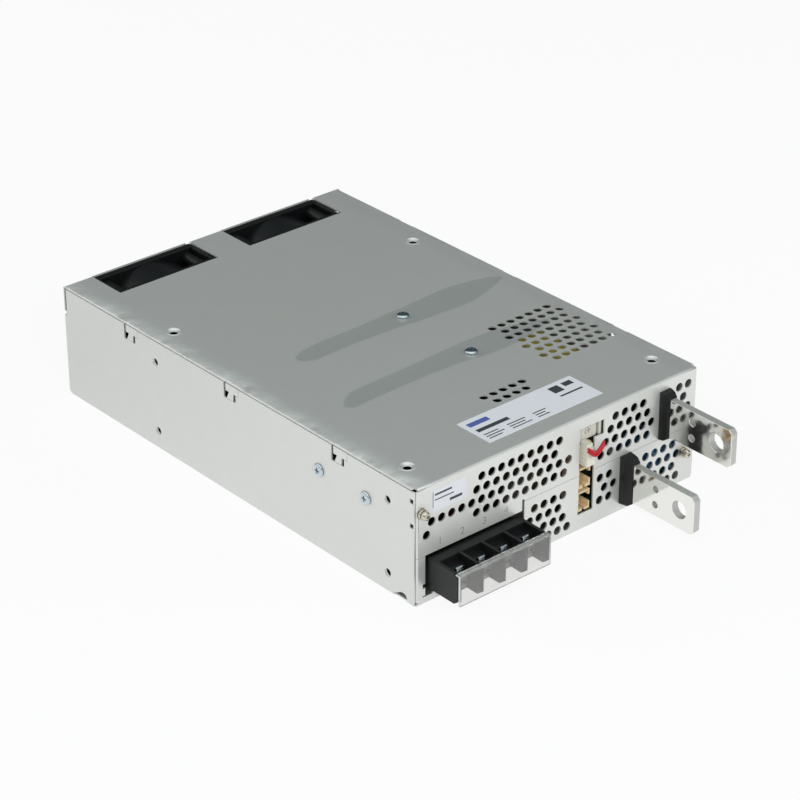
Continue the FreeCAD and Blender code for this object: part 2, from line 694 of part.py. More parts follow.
def screw(start, axis, sign, length=SCREW_LENGTH, head_r=SCREW_HEAD_R, head=SCREW_HEAD, shank_r=SCREW_R):
    """A plain screw whose head seats at start and whose shank runs along the axis, times sign."""
    step = AXIS[axis] * sign
    head_start = start if sign < 0 else start - step * head
    shank_start = start if sign > 0 else start + step * length
    top = many_sided(head_r, HEAD_SIDES, head, head_start, axis)
    shank = many_sided(shank_r, HOLE_SIDES, length, shank_start, axis)
    return joined([top, shank])


def heatsink_screws():
    return [screw(at(*seat_screw(i), SEAT_Z), "z", -1) for i in range(len(SEAT_FRONT))]


def side_screws():
    length = SHEET + DEVICE[1] - LEAD
    return [screw(at(-SIDE, FRONT + y, SIDE_SCREW_Z), "x", 1, length) for y in SIDE_SCREW_FRONT]


def panel_screws():
    seat = FRONT - FLAT_WASHER - SPRING_WASHER
    return [screw(at(x, seat, z), "y", 1, *PANEL_SCREW) for x, z in panel_screw_spots()]


def panel_washers():
    washers = []
    for x, z in panel_screw_spots():
        for radius, y, thick in ((WASHER_R, FRONT - FLAT_WASHER, FLAT_WASHER),
                                 (SPRING_R, FRONT - FLAT_WASHER - SPRING_WASHER, SPRING_WASHER)):
            hole = many_sided(SCREW_R + FIT, HOLE_SIDES, thick, at(x, y, z), "y")
            washers.append(many_sided(radius, HEAD_SIDES, thick, at(x, y, z), "y").cut(hole))
    return washers


def fan_screws():
    length, head_r, head = FAN_SCREW
    shank_r = FAN_HOLE_R - SCREW_GAP
    corners = fan_corners(-FAN_X, REAR) + fan_corners(FAN_X, REAR)
    return [screw(corner, "y", -1, length, head_r, head, shank_r) for corner in corners]


def fan_plate(x, y, thick):
    """The fan frame's square outline with cut corners."""
    half = FAN_SIZE / 2
    flat = half - FAN_CORNER
    corner = half - FAN_CORNER * (1 - math.sqrt(0.5))
    quarter = [(half, flat), (corner, corner), (flat, half)]
    outline = []
    for turn in range(4):
        outline += [(x + u, FAN_Z + v) for u, v in quarter]
        quarter = [(-v, u) for u, v in quarter]
    return prism(outline, "y", y, thick)


def fan_frame(x):
    """Two square flanges on a round duct, corner posts, and a motor seat on four struts."""
    centre = at(x, FAN_FRONT, FAN_Z)
    duct = many_sided(FAN_BORE_R + FAN_DUCT, FAN_SIDES, FAN_DEPTH, centre, "y")
    body = [fan_plate(x, FAN_FRONT, FAN_FLANGE), fan_plate(x, REAR_IN - FAN_FLANGE, FAN_FLANGE),
            duct.common(fan_plate(x, FAN_FRONT, FAN_DEPTH))]
    holes = [many_sided(FAN_BORE_R, FAN_SIDES, FAN_DEPTH, centre, "y")]
    for corner in fan_corners(x, FAN_FRONT):
        body.append(many_sided(FAN_POST_R, HOLE_SIDES, FAN_DEPTH, corner, "y"))
        holes.append(many_sided(FAN_HOLE_R, HOLE_SIDES, FAN_DEPTH, corner, "y"))
    shell = joined(body).cut(holes)
    motor = [many_sided(HUB_R, HUB_SIDES, MOTOR_SEAT, centre, "y"),
             many_sided(BEARING_R, HUB_SIDES, BEARING_LENGTH, centre, "y")]
    for i in range(4):
        strut = block(x + HUB_R - STRUT, x + FAN_BORE_R + FAN_RIM / 2, FAN_FRONT, FAN_FRONT + MOTOR_SEAT,
                      FAN_Z - STRUT / 2, FAN_Z + STRUT / 2)
        strut.rotate(centre, AXIS["y"], 45.0 + 90.0 * i)
        motor.append(strut)
    bore = rod(SHAFT_R + FIT, FAN_DEPTH, at(x, FAN_FRONT + SHAFT_INSET / 2, FAN_Z), "y")
    return joined([shell] + motor).cut(bore)


def faceted(first, last):
    """A solid between two like outlines, with flat three-cornered sides."""
    faces = [Part.Face(Part.makePolygon(ring + ring[:1])) for ring in (first, last)]
    count = len(first)
    for i in range(count):
        j = (i + 1) % count
        for corners in ((first[i], first[j], last[j]), (first[i], last[j], last[i])):
            faces.append(Part.Face(Part.makePolygon(corners + corners[:1])))
    solid = Part.Solid(Part.Shell(faces))
    return solid if solid.Volume > 0 else solid.reversed()


def blade_section(centre, radius, pitch, chord):
    """A bowed strip across the blade, flat on to the fan's radius."""
    angle = math.radians(pitch)
    along = at(0, math.sin(angle), math.cos(angle)) * (chord / 2)
    normal = at(0, math.cos(angle), -math.sin(angle))
    across = normal * (BLADE_THICK / 2)
    middle = centre + at(radius, 0, 0)
    crown = middle + normal * BLADE_BOW
    return [middle - along - across, crown - across, middle + along - across,
            middle + along + across, crown + across, middle - along + across]


def fan_rotor(x):
    """Cup hub with a shaft, and twisted blades that sweep just inside the duct."""
    start = at(x, HUB_FRONT, FAN_Z)
    centre = at(x, HUB_FRONT + HUB_LENGTH / 2, FAN_Z)
    sweep = many_sided(BLADE_R, FAN_SIDES, HUB_LENGTH - ABOVE, at(x, HUB_FRONT + ABOVE / 2, FAN_Z), "y")
    root = blade_section(centre, HUB_R - HUB_WALL, *BLADE_ROOT)
    tip = blade_section(centre, BLADE_R + BLADE_THICK, *BLADE_TIP)
    pieces = [many_sided(HUB_R, HUB_SIDES, HUB_LENGTH, start, "y")]
    for i in range(BLADES):
        blade = faceted(root, tip)
        blade.rotate(centre, AXIS["y"], i * 360.0 / BLADES)
        pieces.append(blade.common(sweep))
    cavity = many_sided(HUB_R - HUB_WALL, HUB_SIDES, HUB_LENGTH - HUB_END, start, "y")
    shaft_start = at(x, FAN_FRONT + SHAFT_INSET, FAN_Z)
    shaft = rod(SHAFT_R, HUB_FRONT + HUB_LENGTH - shaft_start.y, shaft_start, "y")
    return joined([joined(pieces).cut(cavity), shaft])


def fan_stator(x):
    start = at(x, FAN_FRONT + MOTOR_SEAT + STATOR_LIFT, FAN_Z)
    wound = many_sided(STATOR_R, HUB_SIDES, STATOR_LENGTH, start, "y")
    return wound.cut(many_sided(BEARING_R + FIT, HUB_SIDES, STATOR_LENGTH, start, "y"))


def pole_x(i):
    return TERMINAL_X + BARRIER / 2 + (i + 0.5) * POLE_PITCH


def pole_hole(x, y):
    return many_sided(POLE_SCREW_R + SCREW_GAP, HOLE_SIDES, POLE_SCREW, at(x, y, POLE_Z), "y")


def terminal_block():
    """Barrier block: a stepped ledge that carries the plates, and walls between the poles."""
    face = FRONT - BLOCK_REACH
    strip = FRONT - BACK_WALL
    back = FRONT_IN + BLOCK_INSIDE
    ledge = prism([(face, BLOCK_BOTTOM), (FRONT_IN, BLOCK_BOTTOM), (FRONT_IN + BOARD_INSET, BOARD_TOP),
                   (back, BOARD_TOP), (back, LEDGE_Z), (FRONT, LEDGE_Z), (FRONT, BLOCK_TOP),
                   (strip, BLOCK_TOP), (strip, LEDGE_Z), (face, LEDGE_Z)], "x", TERMINAL_X, TERMINAL_WIDTH)
    tip = FRONT - BARRIER_REACH
    notch_z = BLOCK_BOTTOM + GUARD_LIP_THICK + SEAM
    notch_y = GUARD_LIP_END + SEAM
    rest_z = BLOCK_TOP - GUARD_LIP_THICK
    wall = [(FRONT, BLOCK_BOTTOM), (notch_y, BLOCK_BOTTOM), (notch_y, notch_z), (tip, notch_z), (tip, rest_z),
            (notch_y, rest_z), (notch_y, BLOCK_TOP), (FRONT, BLOCK_TOP)]
    walls = [prism(wall, "x", TERMINAL_X + i * POLE_PITCH, BARRIER) for i in range(POLES + 1)]
    holes = [pole_hole(pole_x(i), face - ABOVE) for i in range(POLES)]
    return joined([ledge] + walls).cut(holes)


def terminal_plates():
    face = FRONT - BLOCK_REACH
    half = PLATE_WIDTH / 2
    low = BLOCK_BOTTOM + PLATE_INSET[0]
    high = LEDGE_Z - PLATE_INSET[1]
    plates = []
    for x in map(pole_x, range(POLES)):
        plate = block(x - half, x + half, face - PLATE_THICK, face, low, high)
        plates.append(plate.cut(pole_hole(x, face - PLATE_THICK - ABOVE)))
    return plates


def terminal_washers():
    half = WASHER / 2
    washers = []
    for x in map(pole_x, range(POLES)):
        plate = block(x - half, x + half, POLE_SEAT, POLE_SEAT + WASHER_THICK, POLE_Z - half, POLE_Z + half)
        plate = plate.makeChamfer(WASHER_CORNER, edges_on(plate, "y", ()))
        wide, rise = WASHER_TAB
        top = POLE_Z + half + rise
        tab = block(x - wide / 2, x + wide / 2, POLE_SEAT, POLE_SEAT + WASHER_THICK, POLE_Z, top)
        washers.append(joined([plate, tab]).cut(pole_hole(x, POLE_SEAT - ABOVE)))
    return washers


def terminal_screws():
    return [screw(at(pole_x(i), POLE_SEAT, POLE_Z), "y", 1, POLE_SCREW, POLE_HEAD_R, POLE_HEAD, POLE_SCREW_R)
            for i in range(POLES)]


def terminal_cover():
    """Clear channel: a front plate whose lips lie in the barriers' notches, the upper one bearing on them."""
    face = FRONT - GUARD_REACH
    low = BLOCK_BOTTOM
    top = BLOCK_TOP
    lip = low + GUARD_LIP_THICK
    rest_z = top - GUARD_LIP_THICK
    end = GUARD_LIP_END
    outline = [(face, low), (end, low), (end, lip), (GUARD_BACK, lip),
               (GUARD_BACK, rest_z), (end, rest_z), (end, top), (face, top)]
    guard = prism(outline, "x", TERMINAL_X, TERMINAL_WIDTH)
    rounded = [e for z in (low, top) for e in edges_on(guard, "x", (("y", face), ("z", z)))]
    return guard.makeFillet(GUARD_LIP_THICK * 0.8, rounded)


def bus_bar(bar, leg_bottom):
    """Flat bar with a lug hole and two tapped holes, and a leg down to the board at its inner end."""
    middle_x, middle_z = bar_middle(bar)
    x = middle_x - BAR_THICK / 2
    end = FRONT - bar[2]
    inner = FRONT_IN + BAR_INSIDE
    low = middle_z - BAR_TALL / 2
    high = middle_z + BAR_TALL / 2
    outline = [(end, low + BAR_CORNER), (end + BAR_CORNER, low), (inner - BAR_LEG, low),
               (inner - BAR_LEG, leg_bottom), (inner, leg_bottom), (inner, high),
               (end + BAR_CORNER, high), (end, high - BAR_CORNER)]
    flat = prism(outline, "x", x, BAR_THICK)
    holes = [rod(BAR_HOLE_R, BAR_THICK, at(x, end + BAR_HOLE_END, middle_z), "x")]
    for sign in (-1, 1):
        centre = at(x, end + BAR_TAP_END, middle_z + sign * BAR_TAP_PITCH / 2)
        holes.append(many_sided(BAR_TAP_R, HEAD_SIDES, BAR_THICK, centre, "x"))
    return flat.cut(holes)


def bushing(bar):
    """Insulator with bowed cheeks that narrows to its nose, on a neck through the panel."""
    x, z = bar_middle(bar)
    nose = FRONT - bar[2] + BUSHING_END
    half = BAR_THICK / 2 + BUSHING_WALL[0]
    tall = BAR_TALL / 2 + BUSHING_WALL[1]
    tip = BAR_THICK / 2 + BUSHING_NOSE[0]
    short = BAR_TALL / 2 + BUSHING_NOSE[1]
    cheek = []
    for k in range(BUSHING_SIDES + 1):
        along = k / BUSHING_SIDES
        bow = BUSHING_BOW * 4 * along * (1 - along)
        cheek.append((half + (tip - half) * along + bow, FRONT + (nose - FRONT) * along))
    plan = [(x + u, y) for u, y in cheek] + [(x - u, y) for u, y in reversed(cheek)]
    back, drop = BUSHING_SHOULDER
    profile = [(FRONT, z - tall), (FRONT, z + tall), (nose + back, z + tall - drop), (nose, z + short),
               (nose, z - short), (nose + back, z - tall + drop)]
    body = prism(plan, "z", z - tall, 2 * tall).common(prism(profile, "x", x - half, 2 * half))
    neck_x = half - BUSHING_NECK
    neck_z = tall - BUSHING_NECK
    neck = block(x - neck_x, x + neck_x, FRONT, FRONT_IN + BUSHING_TAIL, z - neck_z, z + neck_z)
    slot_x = BAR_THICK / 2 + FIT
    slot_z = BAR_TALL / 2 + FIT
    tail = FRONT_IN + BUSHING_TAIL
    slot = block(x - slot_x, x + slot_x, nose - ABOVE, tail + ABOVE, z - slot_z, z + slot_z)
    return joined([body, neck]).cut(slot)


def main_board():
    half = WALL_X - BOARD_MARGIN
    board = block(-half, half, FRONT_IN + BOARD_INSET, REAR - BOARD_REAR, BOARD_Z, BOARD_TOP)
    depth = BOARD_THICK + 2 * ABOVE
    holes = [many_sided(SCREW_R + SCREW_GAP, HOLE_SIDES, depth, at(x, y, BOARD_Z - ABOVE), "z")
             for x, y in post_spots()]
    return board.cut(holes)


def post_spots():
    x = WALL_X - POST_INSET
    return [(sign * x, FRONT + y) for sign in (-1, 1) for y in POST_FRONT]


def board_posts():
    posts = []
    for x, y in post_spots():
        hole = many_sided(SCREW_R + FIT, HOLE_SIDES, BOARD_Z, at(x, y, SHEET + ABOVE), "z")
        posts.append(many_sided(POST_R, HOLE_SIDES, BOARD_Z - SHEET, at(x, y, SHEET), "z").cut(hole))
    return posts


def board_screws():
    return [screw(at(x, y, BOARD_TOP), "z", -1, BOARD_THICK + BOARD_SCREW) for x, y in post_spots()]


def heatsink_span(i):
    """Left and right ends of a heatsink: inside its seat, and the front one clear of the vent field."""
    left = SEAT_LEFT[i] - SIDE + SEAT_TAPER[0]
    right = SIDE - SEAT_RIGHT[i] - SEAT_TAPER[1]
    if i == 0:
        right = min(right, SIDE - TOP_VENT_RIGHT - SINK_CLEAR)
    return left, right


def heatsink(i):
    """Bar of T section whose flange bears on the underside of the cover's pressed seat."""
    y = FRONT + SEAT_FRONT[i]
    left, right = heatsink_span(i)
    top = SEAM_Z - SEAT_DEPTH
    half = SEAT_WIDTH / 2 - SINK_INSET
    web = SINK_WEB / 2
    low = BOARD_TOP + SINK_LIFT
    shelf = top - SINK_FLANGE
    outline = [(y - web, low), (y + web, low), (y + web, shelf), (y + half, shelf),
               (y + half, top), (y - half, top), (y - half, shelf), (y - web, shelf)]
    bar = prism(outline, "x", left, right - left)
    legs = [block(x, x + SINK_FOOT, y - web, y + web, BOARD_TOP, low) for x in (left, right - SINK_FOOT)]
    depth = SCREW_LENGTH + ABOVE
    hole = many_sided(SCREW_R + FIT, HOLE_SIDES, depth, at(*seat_screw(i), SEAT_Z - depth), "z")
    return joined([bar] + legs).cut(hole)


def lead(x, y, top):
    half = LEAD / 2
    return block(x - half, x + half, y - half, y + half, BOARD_TOP, top)


def device_row(i):
    """Power packages against the heatsink's front face, each with three leads into the board."""
    wide, thick, tall = DEVICE
    y = FRONT + SEAT_FRONT[i] - SINK_WEB / 2
    low = BOARD_TOP + DEVICE_LIFT
    devices = []
    for n in range(DEVICES):
        x = heatsink_span(i)[0] + wide + n * DEVICE_PITCH
        body = block(x - wide / 2, x + wide / 2, y - thick, y, low, low + tall)
        leads = [lead(x + k * DEVICE_LEADS, y - thick / 2, low) for k in (-1, 0, 1)]
        devices.append(joined([body] + leads))
    return devices


def bridge_rectifiers():
    """Flat packages screwed to the left side wall, with leads down to the board."""
    wide, below, above = RECTIFIER
    thick = DEVICE[1]
    found = []
    for front in SIDE_SCREW_FRONT:
        y = FRONT + front
        low = SIDE_SCREW_Z - below
        body = block(-WALL_X, -WALL_X + thick, y - wide / 2, y + wide / 2, low, SIDE_SCREW_Z + above)
        start = at(-WALL_X - ABOVE, y, SIDE_SCREW_Z)
        body = body.cut(many_sided(SCREW_R + FIT, HOLE_SIDES, thick + ABOVE, start, "x"))
        lead_x = -WALL_X + thick - LEAD / 2
        leads = [lead(lead_x, y + k * RECTIFIER_LEADS, low) for k in (-1.5, -0.5, 0.5, 1.5)]
        found.append(joined([body] + leads))
    return found


def toroid(radius, hole, length, start, axis):
    outer = many_sided(radius, TOROID_SIDES, length, start, axis)
    return outer.cut(many_sided(hole, HOLE_SIDES, length, start, axis))


def line_chokes():
    """Wound rings standing on flat-bottomed bases."""
    radius, hole, length = LINE_CHOKE
    wide, lift, seat = CHOKE_BASE
    chokes = []
    for left, front in LINE_CHOKES_LEFT:
        x = left - SIDE
        y = FRONT + front
        centre = at(x, y, BOARD_TOP + lift + radius)
        base = block(x - wide / 2, x + wide / 2, y, y + length, BOARD_TOP, BOARD_TOP + lift + seat)
        chokes.append(joined([toroid(radius, hole, length, centre, "y"), base]))
    return chokes


def film_capacitors():
    """Moulded boxes; the first stands behind the terminal block, left of the signal board."""
    beside, behind = INLET_CAPACITOR_GAP
    left = SIGNAL_X - SIGNAL_BOARD_LEFT - beside - INLET_CAPACITOR[0] + SIDE
    boxes = ((left, SHEET + BLOCK_INSIDE + behind, *INLET_CAPACITOR),) + FILM_CAPACITORS_LEFT
    found = []
    for left, front, wide, thick, tall in boxes:
        x = left - SIDE
        y = FRONT + front
        box = block(x, x + wide, y, y + thick, BOARD_TOP, BOARD_TOP + tall)
        found.append(box.makeChamfer(FILM_CORNER, edges_on(box, "z", ())))
    return found


def input_fuse():
    radius, length, rise = FUSE
    wide, thick, tall = FUSE_HOLDER
    x = FUSE_LEFT[0] - SIDE
    y = FRONT + FUSE_LEFT[1]
    holder = block(x, x + wide, y - thick / 2, y + thick / 2, BOARD_TOP, BOARD_TOP + tall)
    tube = many_sided(radius, HEAD_SIDES, length, at(x + (wide - length) / 2, y, BOARD_TOP + rise), "x")
    return joined([holder, tube])


def inrush_relay():
    wide, long, tall = RELAY
    x = RELAY_LEFT[0] - SIDE
    y = FRONT + RELAY_LEFT[1]
    box = block(x, x + wide, y, y + long, BOARD_TOP, BOARD_TOP + tall)
    return box.makeChamfer(RELAY_CORNER, edges_on(box, "z", ()))


def board_toroid(right_front, size):
    right, front = right_front
    return toroid(*size, at(SIDE - right, FRONT + front, BOARD_TOP), "z")


def bulk_capacitors():
    radius, tall = BULK_CAN
    spots = [(left - SIDE, FRONT + front) for left in BULK_LEFT for front in BULK_FRONT]
    return [many_sided(radius, CAN_SIDES, tall, at(x, y, BOARD_TOP), "z") for x, y in spots]


def output_capacitors():
    radius, tall = OUTPUT_CAN
    spots = [(SIDE - right, FRONT + front) for right, front in OUTPUT_CANS_RIGHT]
    return [many_sided(radius, CAN_SIDES, tall, at(x, y, BOARD_TOP), "z") for x, y in spots]


def transformer_parts():
    """Core with its centre leg along X through a taped winding, on a moulded base."""
    x = SIDE - TRANSFORMER_RIGHT[0]
    y = FRONT + TRANSFORMER_RIGHT[1]
    low = BOARD_TOP + TRANSFORMER_BASE
    half_x = WINDING[0] / 2
    half_y = WINDING[1] / 2
    middle = low + WINDING[2] / 2
    leg_y = CENTRE_LEG[0] / 2
    leg_z = CENTRE_LEG[1] / 2

    def round_about(reach_x, reach_y, reach_z):
        return block(x - reach_x, x + reach_x, y - reach_y, y + reach_y, middle - reach_z, middle + reach_z)

    winding = round_about(half_x, half_y, WINDING[2] / 2)
    winding = winding.makeChamfer(WINDING_CORNER, edges_on(winding, "x", ()))
    winding = winding.cut(round_about(half_x + ABOVE, leg_y + CORE_GAP, leg_z + CORE_GAP))
    core_x = half_x + CORE_GAP + CORE_LEG
    core_y = half_y + CORE_GAP + CORE_LEG
    core_z = CORE_TALL / 2
    window = round_about(half_x + CORE_GAP, half_y + CORE_GAP, core_z + ABOVE)
    core = joined([round_about(core_x, core_y, core_z).cut(window), round_about(core_x, leg_y, leg_z)])
    base_x = half_x + BASE_MARGIN
    base = [block(x - base_x, x + base_x, y - core_y, y + core_y, BOARD_TOP, low)]
    for sign in (-1, 1):
        near, far = sorted((y + sign * (half_y + CORE_GAP), y + sign * core_y))
        base.append(block(x - base_x, x + base_x, near, far, low, middle - core_z))
    return winding, core, joined(base)


def signal_board():
    """Upright board with room at its lower right for the lower bar."""
    bar_x = SIDE - LOWER_BAR[0]
    room_left, room_above, room_right = SIGNAL_BAR_ROOM
    x0 = SIGNAL_X - SIGNAL_BOARD_LEFT
    step = bar_x - BAR_THICK / 2 - room_left
    x1 = bar_x + BAR_THICK / 2 + room_right
    step_z = LOWER_BAR[1] + BAR_TALL + room_above
    top = SEAM_Z - SIGNAL_BOARD_TOP
    outline = [(x0, BOARD_TOP), (step, BOARD_TOP), (step, step_z), (x1, step_z), (x1, top), (x0, top)]
    return prism(outline, "y", SIGNAL_BOARD_Y, BOARD_THICK)


def signal_headers():
    """Open boxes on the upright board, each with a keyway in its left wall."""
    x0 = HEADER_X
    x1 = HEADER_X + HEADER_WIDTH
    floor = SIGNAL_BOARD_Y - HEADER_WALL
    headers = []
    for low, high in HEADER_Z:
        middle = (low + high) / 2
        shell = block(x0, x1, HEADER_MOUTH, SIGNAL_BOARD_Y, low, high)
        socket = block(x0 + HEADER_WALL, x1 - HEADER_WALL, HEADER_MOUTH - ABOVE, floor,
                       low + HEADER_WALL, high - HEADER_WALL)
        key = block(x0 - ABOVE, x0 + 2 * HEADER_WALL, HEADER_MOUTH - ABOVE, floor - KEY_STOP,
                    middle - HEADER_KEY / 2, middle + HEADER_KEY / 2)
        headers.append(shell.cut([socket, key]))
    return headers


def header_pins():
    """Two columns of square pins standing in each open header."""
    half = PIN_SIZE / 2
    middle = HEADER_X + HEADER_WIDTH / 2
    floor = SIGNAL_BOARD_Y - HEADER_WALL
    pins = []
    for low, high in HEADER_Z[:-1]:
        step = (high - low - 2 * HEADER_WALL) / PIN_ROWS
        for x in (middle - PIN_PITCH / 2, middle + PIN_PITCH / 2):
            for k in range(PIN_ROWS):
                z = low + HEADER_WALL + step * (k + 0.5)
                pins.append(block(x - half, x + half, floor - PIN_LENGTH, floor, z - half, z + half))
    return pins


def plug_box():
    """Left, right, bottom and top of the plug, which fills the top header's socket."""
    low, high = HEADER_Z[-1]
    inset = HEADER_WALL + FIT
    return HEADER_X + inset, HEADER_X + HEADER_WIDTH - inset, low + inset, high - inset


def jumper_plug():
    """Crimp housing seated in the top header, with a latch bar along its left cheek."""
    x0, x1, low, high = plug_box()
    body = block(x0, x1, PLUG_FACE, SIGNAL_BOARD_Y - HEADER_WALL - FIT, low, high)
    thick, tall, set_back = PLUG_LATCH
    middle = (low + high) / 2
    latch = block(x0 - thick, x0, PLUG_FACE + set_back, HEADER_MOUTH - PLUG_INSET,
                  middle - tall / 2, middle + tall / 2)
    cavities = []
    for x, z in wire_spots():
        start = at(x, PLUG_FACE - ABOVE, z)
        cavities.append(many_sided(WIRE_R + FIT, HOLE_SIDES, WIRE_CAVITY + ABOVE, start, "y"))
    return joined([body, latch]).cut(cavities)


def wire_spots():
    x0, x1, low, high = plug_box()
    half_x = WIRE_SPACING[0] / 2
    half_z = WIRE_SPACING[1] / 2
    x = (x0 + x1) / 2
    z = (low + high) / 2
    return [(x + u, z + v) for v in (-half_z, half_z) for u in (-half_x, half_x)]


def jumper_wires():
    """Short insulated loops, each from one cavity of the plug to the one beside it."""
    seated = PLUG_FACE + WIRE_SEATED
    reach = PLUG_FACE - WIRE_LOOP
    spots = wire_spots()
    loops = []
    for (xa, z), (xb, _) in (spots[:2], spots[2:]):
        middle = (xa + xb) / 2
        half = (xb - xa) / 2
        turns = [math.pi * (1 - k / LOOP_FLATS) for k in range(LOOP_FLATS + 1)]
        bend = [at(middle + half * math.cos(t), reach - half * math.sin(t), z) for t in turns]
        path = Part.makePolygon([at(xa, seated, z)] + bend + [at(xb, seated, z)])
        around = [2 * math.pi * (k + 0.5) / HOLE_SIDES for k in range(HOLE_SIDES)]
        rim = [at(xa + WIRE_R * math.cos(t), seated, z + WIRE_R * math.sin(t)) for t in around]
        loops.append(Part.Wire(path).makePipeShell([Part.makePolygon(rim + rim[:1])], True, True, 1))
    return loops


def trimmer_body():
    half = TRIMMER_WIDTH / 2
    tall = TRIMMER_TALL / 2
    body = block(TRIMMER_X - half, TRIMMER_X + half, TRIMMER_FACE, SIGNAL_BOARD_Y,
                 TRIMMER_Z - tall, TRIMMER_Z + tall)
    body = body.makeChamfer(TRIMMER_BEVEL, edges_on(body, "z", (("y", TRIMMER_FACE),)))
    start = at(TRIMMER_X, TRIMMER_FACE, TRIMMER_Z)
    return body.cut(rod(TRIMMER_SCREW_R + FIT, TRIMMER_SCREW_DEPTH, start, "y"))


def trimmer_screw():
    """Flush round screw with a cross slot, floating in the trimmer's bore."""
    start = at(TRIMMER_X, TRIMMER_FACE + TRIMMER_FLOAT, TRIMMER_Z)
    head = rod(TRIMMER_SCREW_R, TRIMMER_SCREW_DEPTH - 2 * TRIMMER_FLOAT, start, "y")
    wide, long, deep = TRIMMER_SLOT
    cross = []
    for half_x, half_z in ((long / 2, wide / 2), (wide / 2, long / 2)):
        cross.append(block(TRIMMER_X - half_x, TRIMMER_X + half_x, start.y - ABOVE, start.y + deep,
                           TRIMMER_Z - half_z, TRIMMER_Z + half_z))
    return head.cut(cross)


def rating_label():
    wide, long, x, front = TOP_LABEL
    y = FRONT + front
    return block(x - wide / 2, x + wide / 2, y - long / 2, y + long / 2, HEIGHT, HEIGHT + LABEL_THICK)


def front_label():
    wide, tall, left, z = FRONT_LABEL
    x = left - SIDE
    return block(x - wide / 2, x + wide / 2, FRONT - LABEL_THICK, FRONT, z - tall / 2, z + tall / 2)


def parts():
    winding, core, base = transformer_parts()
    nodes = {
        "chassis": chassis(),
        "top_cover": top_cover(),
        "heatsink_screws": heatsink_screws(),
        "side_screws": side_screws(),
        "panel_screws": panel_screws(),
        "panel_washers": panel_washers(),
        "fan_screws": fan_screws(),
        "terminal_block": terminal_block(),
        "terminal_plates": terminal_plates(),
        "terminal_washers": terminal_washers(),
        "terminal_screws": terminal_screws(),
        "terminal_cover": terminal_cover(),
        "upper_bus_bar": bus_bar(UPPER_BAR, BOARD_TOP),
        "lower_bus_bar": bus_bar(LOWER_BAR, BOARD_TOP),
        "upper_bar_bushing": bushing(UPPER_BAR),
        "lower_bar_bushing": bushing(LOWER_BAR),
        "main_board": main_board(),
        "board_posts": board_posts(),
        "board_screws": board_screws(),
        "front_heatsink": heatsink(0),
        "rear_heatsink": heatsink(1),
        "power_transistors": device_row(0) + device_row(1),
        "bridge_rectifiers": bridge_rectifiers(),
        "line_chokes": line_chokes(),
        "film_capacitors": film_capacitors(),
        "input_fuse": input_fuse(),
        "inrush_relay": inrush_relay(),
        "boost_choke": board_toroid(BOOST_CHOKE_RIGHT, BOOST_CHOKE),
        "bulk_capacitors": bulk_capacitors(),
        "transformer_winding": winding,
        "transformer_core": core,
        "transformer_base": base,
        "output_choke": board_toroid(OUTPUT_CHOKE_RIGHT, OUTPUT_CHOKE),
        "output_capacitors": output_capacitors(),
        "signal_board": signal_board(),
        "signal_headers": signal_headers(),
        "header_pins": header_pins(),
        "jumper_plug": jumper_plug(),
        "jumper_wires": jumper_wires(),
        "trimmer_body": trimmer_body(),
        "trimmer_screw": trimmer_screw(),
        "rating_label": rating_label(),
        "front_label": front_label(),
    }
    for side, x in (("left", -FAN_X), ("right", FAN_X)):
        nodes["fan_frame_" + side] = fan_frame(x)
        nodes["fan_rotor_" + side] = fan_rotor(x)
        nodes["fan_stator_" + side] = fan_stator(x)
    return nodes


def write(nodes):
    os.makedirs("parts", exist_ok=True)
    for name, shape in nodes.items():
        solids = shape if isinstance(shape, list) else [shape]
        solids = [solid for piece in solids for solid in piece.Solids]
        whole = solids[0] if len(solids) == 1 else Part.makeCompound(solids)
        whole.exportStep("parts/" + name + ".step")
        state = "valid" if whole.isValid() else "NOT VALID"
        print(name, len(solids), "solids", state, round(whole.Volume, 1))


write(parts())
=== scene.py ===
import json
import math

import bmesh
import bpy
from mathutils import Matrix, Vector

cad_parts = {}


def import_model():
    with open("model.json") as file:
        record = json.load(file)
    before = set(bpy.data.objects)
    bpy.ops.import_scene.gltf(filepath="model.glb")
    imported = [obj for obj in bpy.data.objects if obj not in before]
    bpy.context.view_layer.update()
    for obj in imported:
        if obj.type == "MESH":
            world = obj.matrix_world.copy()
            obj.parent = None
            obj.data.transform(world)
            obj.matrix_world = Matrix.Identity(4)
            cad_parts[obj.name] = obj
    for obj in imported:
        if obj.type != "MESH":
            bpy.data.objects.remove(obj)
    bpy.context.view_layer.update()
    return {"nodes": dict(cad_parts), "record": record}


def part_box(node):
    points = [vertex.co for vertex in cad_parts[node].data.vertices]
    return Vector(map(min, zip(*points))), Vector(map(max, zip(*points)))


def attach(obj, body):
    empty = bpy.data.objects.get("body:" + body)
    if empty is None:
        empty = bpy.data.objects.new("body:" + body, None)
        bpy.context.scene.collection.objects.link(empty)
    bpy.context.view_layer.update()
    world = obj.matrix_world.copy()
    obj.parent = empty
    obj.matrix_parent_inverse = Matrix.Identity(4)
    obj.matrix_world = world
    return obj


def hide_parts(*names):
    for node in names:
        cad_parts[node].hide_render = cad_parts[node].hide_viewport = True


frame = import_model()

# A chassis mount switching power supply: a folded case of galvanised sheet, with a screw terminal block, a column of
# signal connectors, two plated output bars and two fans. Sizes are in millimetres until a piece is finished.
MM = 0.001
X = Vector((1, 0, 0))
Y = Vector((0, 1, 0))
Z = Vector((0, 0, 1))
SLOTS = {row["node"]: row["material_slot"] for row in frame["record"]["subparts"]}


def node_box(name):
    """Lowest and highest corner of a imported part, in millimetres."""
    low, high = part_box(name)
    return Vector(low) / MM, Vector(high) / MM


